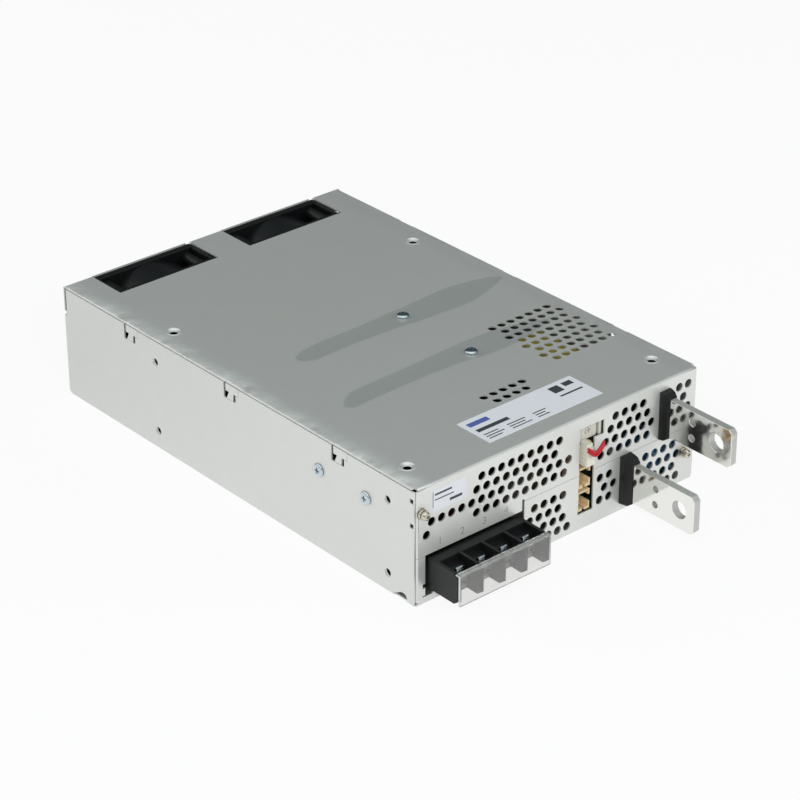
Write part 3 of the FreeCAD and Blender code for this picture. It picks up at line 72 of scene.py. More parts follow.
# Case
COVER_LOW, COVER_HIGH = node_box("top_cover")
SIDE = COVER_HIGH.x
FRONT = COVER_LOW.y
REAR = COVER_HIGH.y
TOP = COVER_HIGH.z
SHEET = 0.8
BEND = 1.2  # outside radius of a fold
SEAM = 0.2  # gap between sheet edges that meet
WALL_X = SIDE - SHEET
EDGE_X = WALL_X - SEAM  # ends of the panels between the sides
FOLD_X = SIDE - BEND
FRONT_IN = FRONT + SHEET
FRONT_FOLD = FRONT + BEND
REAR_FOLD = REAR - BEND
SEAM_Z = TOP - SHEET
SHEARED = 0.16  # rounding of a sheared edge
BEND_STEPS = 6
HOLE_STEPS = 24
BORE_STEPS = 64
LIP = 0.4  # flat ring that is kept round a hole
EDGE_ROLL = 0.75  # outside radius of the cover's rolled long edges
ROLL_TURN = 78.0
ROLL_X = SIDE - EDGE_ROLL
ROLL_STOP = 1.5  # where a roll ends, from the folds across its ends
WALL_TOP = SEAM_Z - 0.35  # upper edges of the sides
CORNER_ROLL = 0.9  # outside radius of the front panels' rolled ends
FLANGE_X = EDGE_X - CORNER_ROLL
SIDE_FRONT = FRONT + 0.8  # the sides' front edges, set back beside those rolls

# Front panel
SPLIT_Z = 30.0
INLET_TOP_Z = 25.2
INLET_X = (-83.0, -22.6)
INLET_SILL_Z = 4.5
INLET_LATCH = (1.5, 8.4, 10.6)  # notch in the cut-out's left edge: depth, bottom, top
INLET_KEY = (1.6, 4.4, 0.7)  # notch in its lower left corner: left, right, depth
STEP_NOTCH = (1.4, 1.0)
SIGNAL_X = (11.7, 21.4)
SIGNAL_Z = (8.8, 54.7)
TRIMMER_WINDOW = (27.4, 47.2)  # right edge and lower edge
PANEL_SCREWS = ((-85.4, 48.4), (81.0, 17.2))
SCREW_TAB_TALL = 10.5  # tab behind the left panel screw
TAB_SLOT = (1.2, 2.4, 2.2)  # beside the left tab: from the front, width, height
SIDE_SCREWS = ((-100.4, 42.7), (-67.2, 42.7))  # (y, z) on the left side
SCREW_HOLE = 1.6
BUSHING_NECK = 0.65  # a bushing's face, beyond its hole in the panel

# Vents
VENT_R = 2.25
VENT_PITCH = 6.0
VENT_ORIGIN = (1.8, 5.7)
# row number: (first column, holes)
LOWER_VENTS = {
    0: ((-2, 3), (10, 3)),
    1: ((-3, 4), (4, 2), (10, 3)),
    2: ((-4, 4), (4, 2), (9, 4)),
    3: ((-3, 4), (4, 2), (9, 4)),
}
UPPER_VENTS = {
    5: ((-14, 1), (-9, 10), (4, 6), (13, 1)),
    6: ((-14, 15), (4, 6), (12, 2)),
    7: ((-9, 9), (5, 5), (13, 1)),
    8: ((-9, 9), (5, 4), (12, 2)),
}
TOP_PITCH = 6.05
TOP_FIELD = (41.6, -83.6, 7, 8)  # first hole, columns, rows
SMALL_FIELD = (-8.4, -90.1, 5)

# Fixing holes: (radius, depth) down the drawn rim
FIXING_X = 77.0
FIXING_Y = (-115.0, 58.0)
FIXING_Z = (10.0, 48.2)
DRAWN_RIM = ((4.7, 0.0), (4.35, 0.0), (4.15, -0.1), (3.9, -0.2), (3.65, -0.22), (3.4, -0.1), (3.25, 0.2),
             (2.7, 0.5), (2.3, 0.6), (2.1, 0.75), (2.35, 1.0), (2.1, 1.25), (2.35, 1.5))
SIDE_RIM = ((3.0, 0.0), (2.7, 0.0), (2.4, 0.03), (2.15, 0.16), (1.95, 0.35), (2.1, 0.6), (1.95, 0.85), (2.1, 1.1),
            (1.95, 1.35))

# Hooks
HOOK_Y = (-82.5, -3.0, 76.5)
HOOK_WIDTH = 9.6
HOOK_DROP = 4.2
TONGUE_DROP = 3.8
TONGUE = ((-1.2, 2.2), (-0.8, 4.0))  # its ends at its root and at its tip, from the hook's middle
HOOK_WINDOW = (-2.75, 6.2)  # ends of the window behind the tongue
HOOK_RELIEF = 0.06

# Seats pressed into the top by the heatsinks' screws: rows of (x, rear edge, front edge)
SEATS = (
    ((-50.5, -4.5, -5.0), (-48.0, -0.6, -8.2), (-44.0, 1.0, -9.8), (-38.0, 2.4, -10.0), (-30.0, 3.3, -9.7),
     (-8.0, 3.8, -9.9), (10.0, 4.6, -10.8), (22.0, 5.1, -12.1), (36.0, 5.9, -12.8), (47.0, 6.6, -13.6),
     (55.0, 6.7, -13.2), (64.0, 5.5, -11.0), (73.0, 3.5, -8.2), (79.0, 1.2, -5.8), (84.0, -3.0, -2.9)),
    ((-63.2, -54.5, -55.0), (-60.0, -50.8, -57.4), (-56.0, -47.6, -58.0), (-50.0, -45.2, -57.7),
     (-36.0, -44.2, -57.2), (-20.0, -43.6, -56.9), (-8.0, -43.1, -57.1), (8.0, -42.4, -57.8),
     (17.0, -42.0, -59.3), (27.0, -41.9, -60.4), (36.0, -42.4, -60.6), (44.0, -43.4, -60.0),
     (54.0, -45.6, -58.0), (63.0, -48.6, -55.4), (71.0, -52.0, -51.9)),
)
SEAT_RIGHT = (84.0, 37.5)  # where each pressing ends
SEAT_DEPTH = 0.22
SEAT_SLOPE = 1.2  # width of the slope round a seat
SEAT_FADE = 16.0  # length over which a seat runs out at its ends
SEAT_LEAST = 0.02  # depth that is left there, of the whole
SEAT_SCREWS = ((17.7, -2.7), (17.7, -52.7))

# Terminals
POLE_X = (-74.15, -60.75, -47.35, -33.95)
POLE_Z = 16.4

# Fans
FAN_X = 41.0
FAN_SIZE = 60.0
FAN_Z = 30.1
FAN_FRONT, FAN_BACK = (node_box("fan_frame_left")[i].y for i in (0, 1))
FAN_OPENING = 30.8  # half width of the openings round a fan
COVER_OPENING_Y = 109.0
FLOOR_OPENING_Y = 108.0
REAR_TAB_Z = 47.5
REAR_NOTCH = 2.3
REAR_END = 132.0  # upper rear ends of the sides
CREST = TOP - 0.25  # top of the rear wall behind the fans
CREST_NOTCH = (2.6, 1.7)  # at the crests' right ends: width, depth
GUARD_RINGS = ((11.0, 18.6), (20.4, 28.0))
GUARD_SPOKE = 12.0
GUARD_STEPS = 10
FAN_HOLES = 25.0
FAN_HOLE_R = 2.15

# Foot of the sides
FOOT_ARCH = (-128.4, -119.0)
FOOT_RISE = 4.4
FOOT_CORNER = 2.0
FOOT_SAG = 0.2
CORNER_RELIEF = 0.9
CORNER_Z = BEND + CORNER_RELIEF  # where the walls' upright edges begin


# Materials
def colour(code):
    """Linear colour of an sRGB hex value."""
    parts = [int(code[i:i + 2], 16) / 255 for i in (1, 3, 5)]
    return [p / 12.92 if p <= 0.04045 else ((p + 0.055) / 1.055) ** 2.4 for p in parts] + [1.0]


def node(tree, kind, sockets=None, **settings):
    """Add a node with its settings; a socket takes a value, or a link from another socket."""
    made = tree.nodes.new("ShaderNode" + kind)
    for key, value in settings.items():
        setattr(made, key, value)
    for key, value in (sockets or {}).items():
        if isinstance(value, bpy.types.NodeSocket):
            tree.links.new(value, made.inputs[key])
        else:
            made.inputs[key].default_value = value
    return made


BROAD = 14.0  # size of the patches of tone, of the grain's size
GRAIN_SPAN = (0.3, 0.7)  # where most of the noise's values lie


def grained(name, tone, rough, grain, metal=0.0, spread=0.05, bump=0.0, wander=0.06, **sockets):
    """A material whose fine grain, sized in mm, moves its roughness and height, and a broader one its tone. Grains
    are drawn coarser than the real ones, which would be too fine to show."""
    material = bpy.data.materials.new(name)
    material.use_nodes = True
    tree = material.node_tree
    shader = tree.nodes["Principled BSDF"]
    shader.inputs["Metallic"].default_value = metal
    for key, value in sockets.items():
        shader.inputs[key.replace("_", " ").title().replace("Ior", "IOR")].default_value = value
    place = node(tree, "TexCoord").outputs["Object"]
    fine = node(tree, "TexNoise", {"Vector": place, "Scale": 1 / (grain * MM), "Detail": 3.0}).outputs["Fac"]
    if spread:
        patch = grain * BROAD
        base = colour(tone)[:3]
        dim = [c * (1 - spread) for c in base] + [1.0]
        lit = [min(c * (1 + spread), 1.0) for c in base] + [1.0]
        broad = node(tree, "TexNoise", {"Vector": place, "Scale": 1 / (patch * MM), "Detail": 4.0}).outputs["Fac"]
        tint = node(tree, "Mix", {0: broad, 6: dim, 7: lit}, data_type="RGBA")
        tree.links.new(tint.outputs[2], shader.inputs["Base Color"])
    else:
        shader.inputs["Base Color"].default_value = colour(tone)
    sheen = node(tree, "MapRange", {"Value": fine, "From Min": GRAIN_SPAN[0], "From Max": GRAIN_SPAN[1],
                                    "To Min": rough - wander, "To Max": rough + wander})
    tree.links.new(sheen.outputs[0], shader.inputs["Roughness"])
    if bump:
        height = node(tree, "Bump", {"Height": fine, "Distance": bump * MM, "Strength": 1.0})
        tree.links.new(height.outputs[0], shader.inputs["Normal"])
    return material


TOP_SKIN = (1.0, 0.6)  # depths under the cover's top: no longer its top face, and wholly so
STREAK = (100 / 9, 5 / 7, 100 / 9)  # size of the streaks at the edges of the seats' painted reflection, along x, y and z
STREAK_LEVEL = 0.45  # noise level that moves no edge
STREAK_REACH = (7.0, 0.6)  # how far the streaks move a seat's edge, at its tip and along it
SEAT_BLUR = (-0.2, 0.9)  # soft edge of a seat's painted reflection, outside and inside its outline


def on_top(tree, z):
    """One on the cover's top face, nothing below it."""
    low, high = ((TOP - depth) * MM for depth in TOP_SKIN)
    return node(tree, "MapRange", {"Value": z, "From Min": low, "From Max": high}).outputs[0]


def seat_edge(tree, along, rows, edge):
    """Place of a seat's rear or front edge down its length, drawn through the rows of its shape."""
    curve = node(tree, "FloatCurve", {"Value": along})
    line = curve.mapping.curves[0]
    spots = [((row[0] + SIDE) / (2 * SIDE), (row[edge] - FRONT) / (REAR - FRONT)) for row in rows]
    line.points[0].location = spots[0]
    line.points[1].location = spots[-1]
    for spot in spots[1:-1]:
        line.points.new(*spot)
    curve.mapping.update()
    return node(tree, "MapRange", {"Value": curve.outputs[0], "To Min": FRONT * MM, "To Max": REAR * MM}).outputs[0]


def seat_mask(tree, place):
    """One over the two pressed seats, with streaks at their edges: the mask of their painted reflection."""
    x, y, z = node(tree, "SeparateXYZ", {0: place}).outputs
    along = node(tree, "MapRange", {"Value": x, "From Min": -SIDE * MM, "From Max": SIDE * MM}).outputs[0]
    streaks = node(tree, "Mapping", {"Vector": place, "Scale": [1 / (size * MM) for size in STREAK]}).outputs[0]
    ragged = node(tree, "TexNoise", {"Vector": streaks, "Scale": 1.0, "Detail": 3.0}).outputs["Fac"]
    torn = node(tree, "Math", {0: ragged, 1: STREAK_LEVEL}, operation="SUBTRACT").outputs[0]
    most, least = STREAK_REACH
    outside, within = SEAT_BLUR
    total = 0.0
    for rows in SEATS:
        rear = node(tree, "Math", {0: seat_edge(tree, along, rows, 1), 1: y}, operation="SUBTRACT").outputs[0]
        front = node(tree, "Math", {0: y, 1: seat_edge(tree, along, rows, 2)}, operation="SUBTRACT").outputs[0]
        inside = node(tree, "Math", {0: rear, 1: front}, operation="MINIMUM").outputs[0]
        tip = rows[0][0]
        reach = node(tree, "MapRange", {"Value": x, "From Min": tip * MM, "From Max": (tip + SEAT_FADE) * MM,
                                        "To Min": most * MM, "To Max": least * MM}).outputs[0]
        inside = node(tree, "Math", {0: torn, 1: reach, 2: inside}, operation="MULTIPLY_ADD").outputs[0]
        mask = node(tree, "MapRange", {"Value": inside, "From Min": outside * MM, "From Max": within * MM})
        total = node(tree, "Math", {0: total, 1: mask.outputs[0]}, operation="MAXIMUM").outputs[0]
    return node(tree, "Math", {0: total, 1: on_top(tree, z)}, operation="MULTIPLY").outputs[0]


ZINC_GRAIN = (0.9, 0.004)  # size and height
ZINC_FLOW = (42.0, 24.0)  # size, and height over the grain's
DROOP_RIPPLE = (26.0, 9.0)  # size of the unevenness along the long edges, and how far it moves the droop
DROOP = (9.0, 3.0, -1200.0)  # reach on either side of an edge, steepness, and height over the grain's


def galvanised_steel():
    """Zinc-coated sheet: satin, nearly neutral, a faint flow in the coating, uneven towards its long edges, and
    a little darker over the pressed seats, as a painted reflection of their shallow troughs."""
    material = grained("galvanised_steel", "#d9dad7", 0.36, 0.7, metal=0.52, spread=0.02, wander=0.03)
    tree = material.node_tree
    shader = tree.nodes["Principled BSDF"]
    place = node(tree, "TexCoord").outputs["Object"]
    tone = shader.inputs["Base Color"].links[0].from_socket
    # painted reflection: the colour goes darker, to #c3c6c4, over the pressed seats, for the darker studio that their
    # troughs mirror
    dark = node(tree, "Mix", {0: seat_mask(tree, place), 6: tone, 7: colour("#c3c6c4")}, data_type="RGBA")
    tree.links.new(dark.outputs[2], shader.inputs["Base Color"])
    grain, height = ZINC_GRAIN
    flow, rise = ZINC_FLOW
    waves = node(tree, "TexNoise", {"Vector": place, "Scale": 1 / (flow * MM), "Detail": 2.0}).outputs["Fac"]
    fine = node(tree, "TexNoise", {"Vector": place, "Scale": 1 / (grain * MM), "Detail": 2.0}).outputs["Fac"]
    coat = node(tree, "Math", {0: waves, 1: rise, 2: fine}, operation="MULTIPLY_ADD").outputs[0]
    size, shift = DROOP_RIPPLE
    reach, steep, fall = DROOP
    x, _, z = node(tree, "SeparateXYZ", {0: place}).outputs
    out = node(tree, "Math", {0: x}, operation="ABSOLUTE").outputs[0]
    ripple = node(tree, "TexNoise", {"Vector": place, "Scale": 1 / (size * MM), "Detail": 3.0}).outputs["Fac"]
    out = node(tree, "Math", {0: ripple, 1: shift * MM, 2: out}, operation="MULTIPLY_ADD").outputs[0]
    near = node(tree, "MapRange", {"Value": out, "From Min": (SIDE - reach) * MM, "From Max": (SIDE + reach) * MM})
    bend = node(tree, "Math", {0: near.outputs[0], 1: steep}, operation="POWER").outputs[0]
    droop = node(tree, "Math", {0: bend, 1: fall}, operation="MULTIPLY").outputs[0]
    both = node(tree, "Math", {0: droop, 1: on_top(tree, z), 2: coat}, operation="MULTIPLY_ADD").outputs[0]
    bump = node(tree, "Bump", {"Height": both, "Distance": height * MM, "Strength": 1.0})
    tree.links.new(bump.outputs[0], shader.inputs["Normal"])
    return material


def facing(tree, axis, low, high):
    """One where a face lies square to an axis, falling to nothing as it turns away."""
    way = node(tree, "SeparateXYZ", {0: node(tree, "NewGeometry").outputs["True Normal"]}).outputs[axis]
    square = node(tree, "Math", {0: way}, operation="ABSOLUTE").outputs[0]
    return node(tree, "MapRange", {"Value": square, "From Min": low, "From Max": high}).outputs[0]


GUARD_CLEAR = (0.72, 0.92)  # how clear the guard's lip and plate are
GUARD_ENDS = 0.3  # how much of that its ends keep
PLATE_FACING = (0.8, 0.95)  # cosines between which a face turns to be part of the plate
END_FACING = (0.5, 0.9)  # or of an end


def clear_plastic():
    """Clear polycarbonate: a grey veil over what is behind its plate, and edges that gather light."""
    material = grained("clear_plastic", "#e4e5e2", 0.08, 2.0, spread=0.0, wander=0.02, ior=1.5)
    tree = material.node_tree
    lip, plate = GUARD_CLEAR
    front = node(tree, "MapRange", {"Value": facing(tree, 1, *PLATE_FACING), "To Min": lip, "To Max": plate})
    ends = node(tree, "MapRange", {"Value": facing(tree, 0, *END_FACING), "To Min": 1.0, "To Max": GUARD_ENDS})
    clear = node(tree, "Math", {0: front.outputs[0], 1: ends.outputs[0]}, operation="MULTIPLY").outputs[0]
    tree.links.new(clear, tree.nodes["Principled BSDF"].inputs["Transmission Weight"])
    return material


BAR_FACING = (0.05, 0.25)  # cosines between which an edge turns to be a face
BAR_EDGE = (0.45, 0.42)  # metal and roughness of a bar's sheared edges
BAR_GRIT = (0.5, 0.16)  # size and height of the grain on them
BAR_FLOW = (3.5, 0.12)  # size of the faces' waves, and height over the grit's


def plated_copper():
    """Tin-plated copper bar: mirror faces, and sheared edges that stay grey and granular."""
    material = grained("plated_copper", "#ecece8", 0.09, 1.2, metal=1.0, spread=0.02, wander=0.03)
    tree = material.node_tree
    shader = tree.nodes["Principled BSDF"]
    place = node(tree, "TexCoord").outputs["Object"]
    metal, rough = BAR_EDGE
    edge = node(tree, "Math", {0: 1.0, 1: facing(tree, 0, *BAR_FACING)}, operation="SUBTRACT").outputs[0]
    bright = node(tree, "MapRange", {"Value": edge, "To Min": 1.0, "To Max": metal}).outputs[0]
    tree.links.new(bright, shader.inputs["Metallic"])
    polish = shader.inputs["Roughness"].links[0].from_socket
    dull = node(tree, "Mix", {0: edge, 2: polish, 3: rough})
    tree.links.new(dull.outputs[0], shader.inputs["Roughness"])
    tone = shader.inputs["Base Color"].links[0].from_socket
    grey = node(tree, "Mix", {0: edge, 6: tone, 7: colour("#b9bab6")}, data_type="RGBA")
    tree.links.new(grey.outputs[2], shader.inputs["Base Color"])
    size, height = BAR_GRIT
    grit = node(tree, "TexNoise", {"Vector": place, "Scale": 1 / (size * MM), "Detail": 3.0}).outputs["Fac"]
    rise = node(tree, "Math", {0: grit, 1: edge}, operation="MULTIPLY").outputs[0]
    size, share = BAR_FLOW
    flow = node(tree, "TexNoise", {"Vector": place, "Scale": 1 / (size * MM), "Detail": 2.0}).outputs["Fac"]
    rise = node(tree, "Math", {0: flow, 1: share, 2: rise}, operation="MULTIPLY_ADD").outputs[0]
    bump = node(tree, "Bump", {"Height": rise, "Distance": height * MM, "Strength": 1.0})
    tree.links.new(bump.outputs[0], shader.inputs["Normal"])
    return material


FINISHES = {
    "galvanised_steel": galvanised_steel(),
    # zinc-plated steel: a bright, cool shine, faintly uneven
    "plated_steel": grained("plated_steel", "#c6d2d8", 0.2, 0.3, metal=1.0, spread=0.05),
    # moulded black thermoplastic: dark grey sheen over a fine spark-eroded grain
    "black_plastic": grained("black_plastic", "#141516", 0.4, 0.25, spread=0.1, bump=0.006, specular_ior_level=0.32),
    "clear_plastic": clear_plastic(),
    "plated_copper": plated_copper(),
    # solder mask over glass laminate: dark green, half glossy
    "circuit_board": grained("circuit_board", "#16352a", 0.35, 0.6, spread=0.12),
    # extruded aluminium as drawn: soft grey metal
    "aluminium": grained("aluminium", "#c4c6c8", 0.35, 0.5, metal=1.0, spread=0.05),
    # moulded epoxy packages: matt black with a fine grain
    "moulded_package": grained("moulded_package", "#242424", 0.55, 0.3, spread=0.1, bump=0.006),
    # enamelled copper wire: brown with a metal glint
    "copper_winding": grained("copper_winding", "#4a2814", 0.35, 0.5, metal=0.6, spread=0.15),
    # moulded boxes of film capacitors: their ochre darkened to a dark olive as painted shade of the case round them,
    # with a soft sheen
    "film_box": grained("film_box", "#2b2814", 0.4, 0.6, spread=0.06, bump=0.004),
    # glazed ceramic: creamy white and glossy
    "ceramic": grained("ceramic", "#dcd9cf", 0.25, 0.8, spread=0.04),
    # shrunk vinyl sleeve: blue and glossy
    "can_sleeve": grained("can_sleeve", "#224b68", 0.3, 0.8, spread=0.06),
    # polyester winding tape: dull yellow with a smooth sheen
    "yellow_tape": grained("yellow_tape", "#c3b145", 0.32, 1.0, spread=0.08),
    # sintered ferrite: rough dark grey
    "ferrite": grained("ferrite", "#3a3a3c", 0.6, 0.4, spread=0.12, bump=0.008),
    # natural nylon, moulded: cream with a soft sheen
    "cream_nylon": grained("cream_nylon", "#e0d5bd", 0.42, 0.5, spread=0.04, bump=0.004),
    # moulded polyester: off-white with a soft sheen
    "trimmer_plastic": grained("trimmer_plastic", "#c9c7bd", 0.38, 0.5, spread=0.04),
    # vinyl wire insulation: red and glossy
    "red_insulation": grained("red_insulation", "#b51f2e", 0.3, 0.6, spread=0.08),
    # coated film: white, faintly blue, half glossy
    "label_film": grained("label_film", "#e6e8ee", 0.38, 0.8, spread=0.015),
}


# Making pieces
WELD = 0.003  # vertices nearer than this are one


def piece(name, bm, slot, replaced=(), body="supply", rounded=0.0, sharp=35.0, steps=2, finish=None):
    """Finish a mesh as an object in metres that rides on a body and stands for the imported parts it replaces."""
    bmesh.ops.scale(bm, vec=(MM, MM, MM), verts=bm.verts)
    mesh = bpy.data.meshes.new(name)
    bm.to_mesh(mesh)
    bm.free()
    mesh.materials.append(finish or FINISHES[slot])
    mesh.shade_smooth()
    mesh.set_sharp_from_angle(angle=math.radians(sharp))
    obj = bpy.data.objects.new(name, mesh)
    bpy.context.collection.objects.link(obj)
    if rounded:
        round_edges(obj, rounded, steps)
    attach(obj, body)
    if replaced:
        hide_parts(*replaced)
    return obj


def round_edges(obj, width, steps=2):
    """Round an object's sharp edges when it is finished."""
    bevel = obj.modifiers.new("rounded_edges", "BEVEL")
    bevel.width = width * MM
    bevel.segments = steps
    bevel.limit_method = "ANGLE"
    bevel.angle_limit = math.radians(40)
    bevel.harden_normals = True


def thicken(obj, thick):
    """Give a skin its sheet thickness, inwards."""
    solid = obj.modifiers.new("sheet", "SOLIDIFY")
    solid.thickness = thick * MM
    solid.offset = -1.0
    solid.use_even_offset = True


def softened(node_name, width, body="supply", steps=2, finish=None):
    """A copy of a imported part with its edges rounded."""
    bm = bmesh.new()
    bm.from_mesh(frame["nodes"][node_name].data)
    bmesh.ops.scale(bm, vec=(1 / MM, 1 / MM, 1 / MM), verts=bm.verts)
    bmesh.ops.remove_doubles(bm, verts=bm.verts, dist=0.002)
    bmesh.ops.dissolve_limit(bm, angle_limit=math.radians(1.0), verts=bm.verts, edges=bm.edges)
    slot = SLOTS[node_name]
    return piece(node_name + "_rounded", bm, slot, (node_name,), body, width, steps=steps, finish=finish)


def closed(node_name, made, bm, weld=False, **look):
    """A piece of closed shapes, faces outwards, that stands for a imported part; its name says how it was made."""
    if weld:
        bmesh.ops.remove_doubles(bm, verts=bm.verts, dist=WELD)
    bmesh.ops.recalc_face_normals(bm, faces=bm.faces)
    return piece(f"{node_name}_{made}", bm, SLOTS[node_name], (node_name,), **look)


def add_curve(bm, curve, place=Matrix()):
    """Make a curve or a text a mesh, and add it in its place."""
    maker = bpy.data.objects.new(curve.name, curve)
    mesh = bpy.data.meshes.new_from_object(maker)
    mesh.transform(place)
    bm.from_mesh(mesh)
    bpy.data.meshes.remove(mesh)
    bpy.data.objects.remove(maker)
    bpy.data.curves.remove(curve)


def put(bm, first, place):
    """Move the vertices that came after the first ones to their place."""
    bm.verts.ensure_lookup_table()
    bmesh.ops.transform(bm, matrix=place, verts=bm.verts[first:])


def frame_of(across, up, out, origin=(0, 0, 0)):
    """Matrix that puts a flat drawing's x, y and outward z along three directions."""
    turned = Matrix((across, up, out)).transposed().to_4x4()
    return Matrix.Translation(origin) @ turned


def to_front(x, y, z):
    """Place of a drawing in (x, z) that faces the front."""
    return frame_of(X, Z, -Y, (x, y, z))


def to_side(sign):
    """Place of a drawing in (y, z) on the left or right side."""
    return frame_of(Y, Z, sign * X, (sign * SIDE, 0, 0))


def loop(bm, points, z=0.0):
    """Closed outline through points; gives its edges."""
    verts = [bm.verts.new((x, y, z)) for x, y in points]
    return [bm.edges.new((verts[i - 1], verts[i])) for i in range(len(verts))]


def circle(bm, x, y, radius, steps=HOLE_STEPS, z=0.0):
    """Round outline; gives its edges."""
    spot = Matrix.Translation((x, y, z))
    verts = bmesh.ops.create_circle(bm, cap_ends=False, radius=radius, segments=steps, matrix=spot)["verts"]
    return list({e for v in verts for e in v.link_edges})


def next_ring(bm, edges, centre, scale, drop):
    """Extrude a round rim to another radius and depth; gives the new rim."""
    made = bmesh.ops.extrude_edge_only(bm, edges=edges)["geom"]
    verts = [g for g in made if isinstance(g, bmesh.types.BMVert)]
    shift = Matrix.Translation((-centre[0], -centre[1], 0))
    bmesh.ops.scale(bm, vec=(scale, scale, 1), space=shift, verts=verts)
    bmesh.ops.translate(bm, vec=(0, 0, -drop), verts=verts)
    return [g for g in made if isinstance(g, bmesh.types.BMEdge)]


def profile_rings(bm, edges, centre, profile):
    """Draw a round rim through rows of (radius, depth); gives the last rim."""
    for (r0, d0), (r1, d1) in zip(profile, profile[1:]):
        edges = next_ring(bm, edges, centre, r1 / r0, d1 - d0)
    return edges


def fill(bm, edges):
    """Fill the flat area inside outlines, holes left open."""
    return bmesh.ops.triangle_fill(bm, use_beauty=True, edges=edges, normal=(0, 0, 1))


def panel(bm, place, outline, holes=(), windows=(), more=None):
    """Flat sheet with round holes, given as (x, y, ((radius, depth), ...)), and other windows, put in its place."""
    first = len(bm.verts)
    edges = loop(bm, outline)
    for window in windows:
        edges += loop(bm, window)
    rims = []
    for x, y, profile in holes:
        rim = circle(bm, x, y, profile[0][0])
        edges += rim
        rims.append((rim, (x, y), profile))
    if more:
        edges += more(bm)
    fill(bm, edges)
    for rim, centre, profile in rims:
        profile_rings(bm, rim, centre, profile)
    put(bm, first, place)


def fold(bm, start, end, centre, axis, degrees):
    """Bend strip, spun from the straight edge that a panel ends on."""
    ends = [bm.verts.new(start), bm.verts.new(end)]
    edge = bm.edges.new(ends)
    bmesh.ops.spin(bm, geom=ends + [edge], cent=centre, axis=axis, angle=math.radians(degrees), steps=BEND_STEPS)


def sheet_piece(name, bm, replaced, up_at):
    """Close a skin's seams, turn it to face outwards at a point on it, and make it a piece of sheet."""
    bmesh.ops.remove_doubles(bm, verts=bm.verts, dist=WELD)
    bmesh.ops.recalc_face_normals(bm, faces=bm.faces)
    spot, out = up_at
    nearest = min(bm.faces, key=lambda f: (f.calc_center_median() - Vector(spot)).length - f.calc_area() * 1e-3)
    if nearest.normal.dot(Vector(out)) < 0:
        bmesh.ops.reverse_faces(bm, faces=bm.faces)
    obj = piece(name, bm, "galvanised_steel", replaced)
    thicken(obj, SHEET)
    round_edges(obj, SHEARED)
    flat = obj.modifiers.new("flat_shading", "WEIGHTED_NORMAL")
    flat.weight = 100
    flat.keep_sharp = True
    return obj


def box_outline(x0, x1, y0, y1):
    """The four corners of a rectangle."""
    return [(x0, y0), (x1, y0), (x1, y1), (x0, y1)]


def plain_hole(x, y, radius):
    """A punched hole with a flat ring round it."""
    return x, y, ((radius + LIP, 0.0), (radius, 0.0))


# Case
def front_vents(rows):
    """The front's staggered vents, by rows of (first column, holes)."""
    holes = []
    for row, groups in rows.items():
        stagger = VENT_PITCH / 2 if row % 2 == 0 else 0.0
        for first, count in groups:
            for column in range(first, first + count):
                x = VENT_ORIGIN[0] + column * VENT_PITCH + stagger
                holes.append(plain_hole(x, VENT_ORIGIN[1] + row * VENT_PITCH, VENT_R))
    return holes


def top_vents():
    """The top's two fields of staggered vents."""
    x0, y0, columns, rows = TOP_FIELD
    spots = []
    for row in range(rows):
        shift = TOP_PITCH / 2 if row % 2 == 0 else 0.0
        spots += [(x0 + shift + c * TOP_PITCH, y0 + row * TOP_PITCH) for c in range(columns)]
    x0, y0, columns = SMALL_FIELD
    for row in range(2):
        spots += [(x0 + (c + row / 2) * TOP_PITCH, y0 - row * TOP_PITCH) for c in range(columns - row)]
    return [plain_hole(x, y, VENT_R) for x, y in spots]


def hook_outline(y):
    """A hook of the cover, with its slanted tongue."""
    low = SEAM_Z - HOOK_DROP
    half = HOOK_WIDTH / 2
    (root0, root1), (tip0, tip1) = TONGUE
    tip = low - TONGUE_DROP
    return [(y - half, TOP - BEND), (y - half, low), (y + root0, low), (y + tip0, tip), (y + tip1, tip),
            (y + root1, low), (y + half, low), (y + half, TOP - BEND)]


def hook_gap(y):
    """The opening in a side that a hook drops into."""
    low = SEAM_Z - HOOK_DROP - SEAM
    near, far = HOOK_WINDOW
    end = y - HOOK_WIDTH / 2 - SEAM
    tip = low - TONGUE_DROP
    return [(end, WALL_TOP), (end, low), (y + near, low), (y + near, tip), (y + far, tip), (y + far, WALL_TOP)]


def seat_outline(number, grow):
    """A seat's outline as far as its pressing goes, grown outwards."""
    end = SEAT_RIGHT[number]
    rows = [row for row in SEATS[number] if row[0] < end]
    first, last = rows[0], rows[-1]
    root = (first[0] - grow, (first[1] + first[2]) / 2)
    tip = (end + grow, (last[1] + last[2]) / 2)
    rear = [(x, y + grow) for x, y, _ in rows[1:]]
    front = [(x, y - grow) for x, _, y in rows[1:]]
    return [root] + front + [tip] + rear[::-1]


def seat_depth(number, x):
    """The pressing runs out towards its two ends."""
    left = (x - SEATS[number][0][0]) / SEAT_FADE
    right = (SEAT_RIGHT[number] - x) / SEAT_FADE
    return SEAT_DEPTH * min(max(left, SEAT_LEAST), max(right, SEAT_LEAST), 1.0)


def rear_ranges(edge=SIDE):
    """Where the rear wall's top belongs to the cover's tabs: (x0, x1) pairs."""
    inner = FAN_X - FAN_OPENING
    outer = FAN_X + FAN_OPENING
    return ((-edge, -outer), (-inner, inner), (outer, edge))


def roll_ranges():
    """The stretches of a long edge between the hooks."""
    stops = [FRONT_FOLD + ROLL_STOP]
    for y in HOOK_Y:
        stops += [y - HOOK_WIDTH / 2 - HOOK_RELIEF, y + HOOK_WIDTH / 2 + HOOK_RELIEF]
    stops.append(REAR_FOLD - ROLL_STOP)
    return list(zip(stops[::2], stops[1::2]))


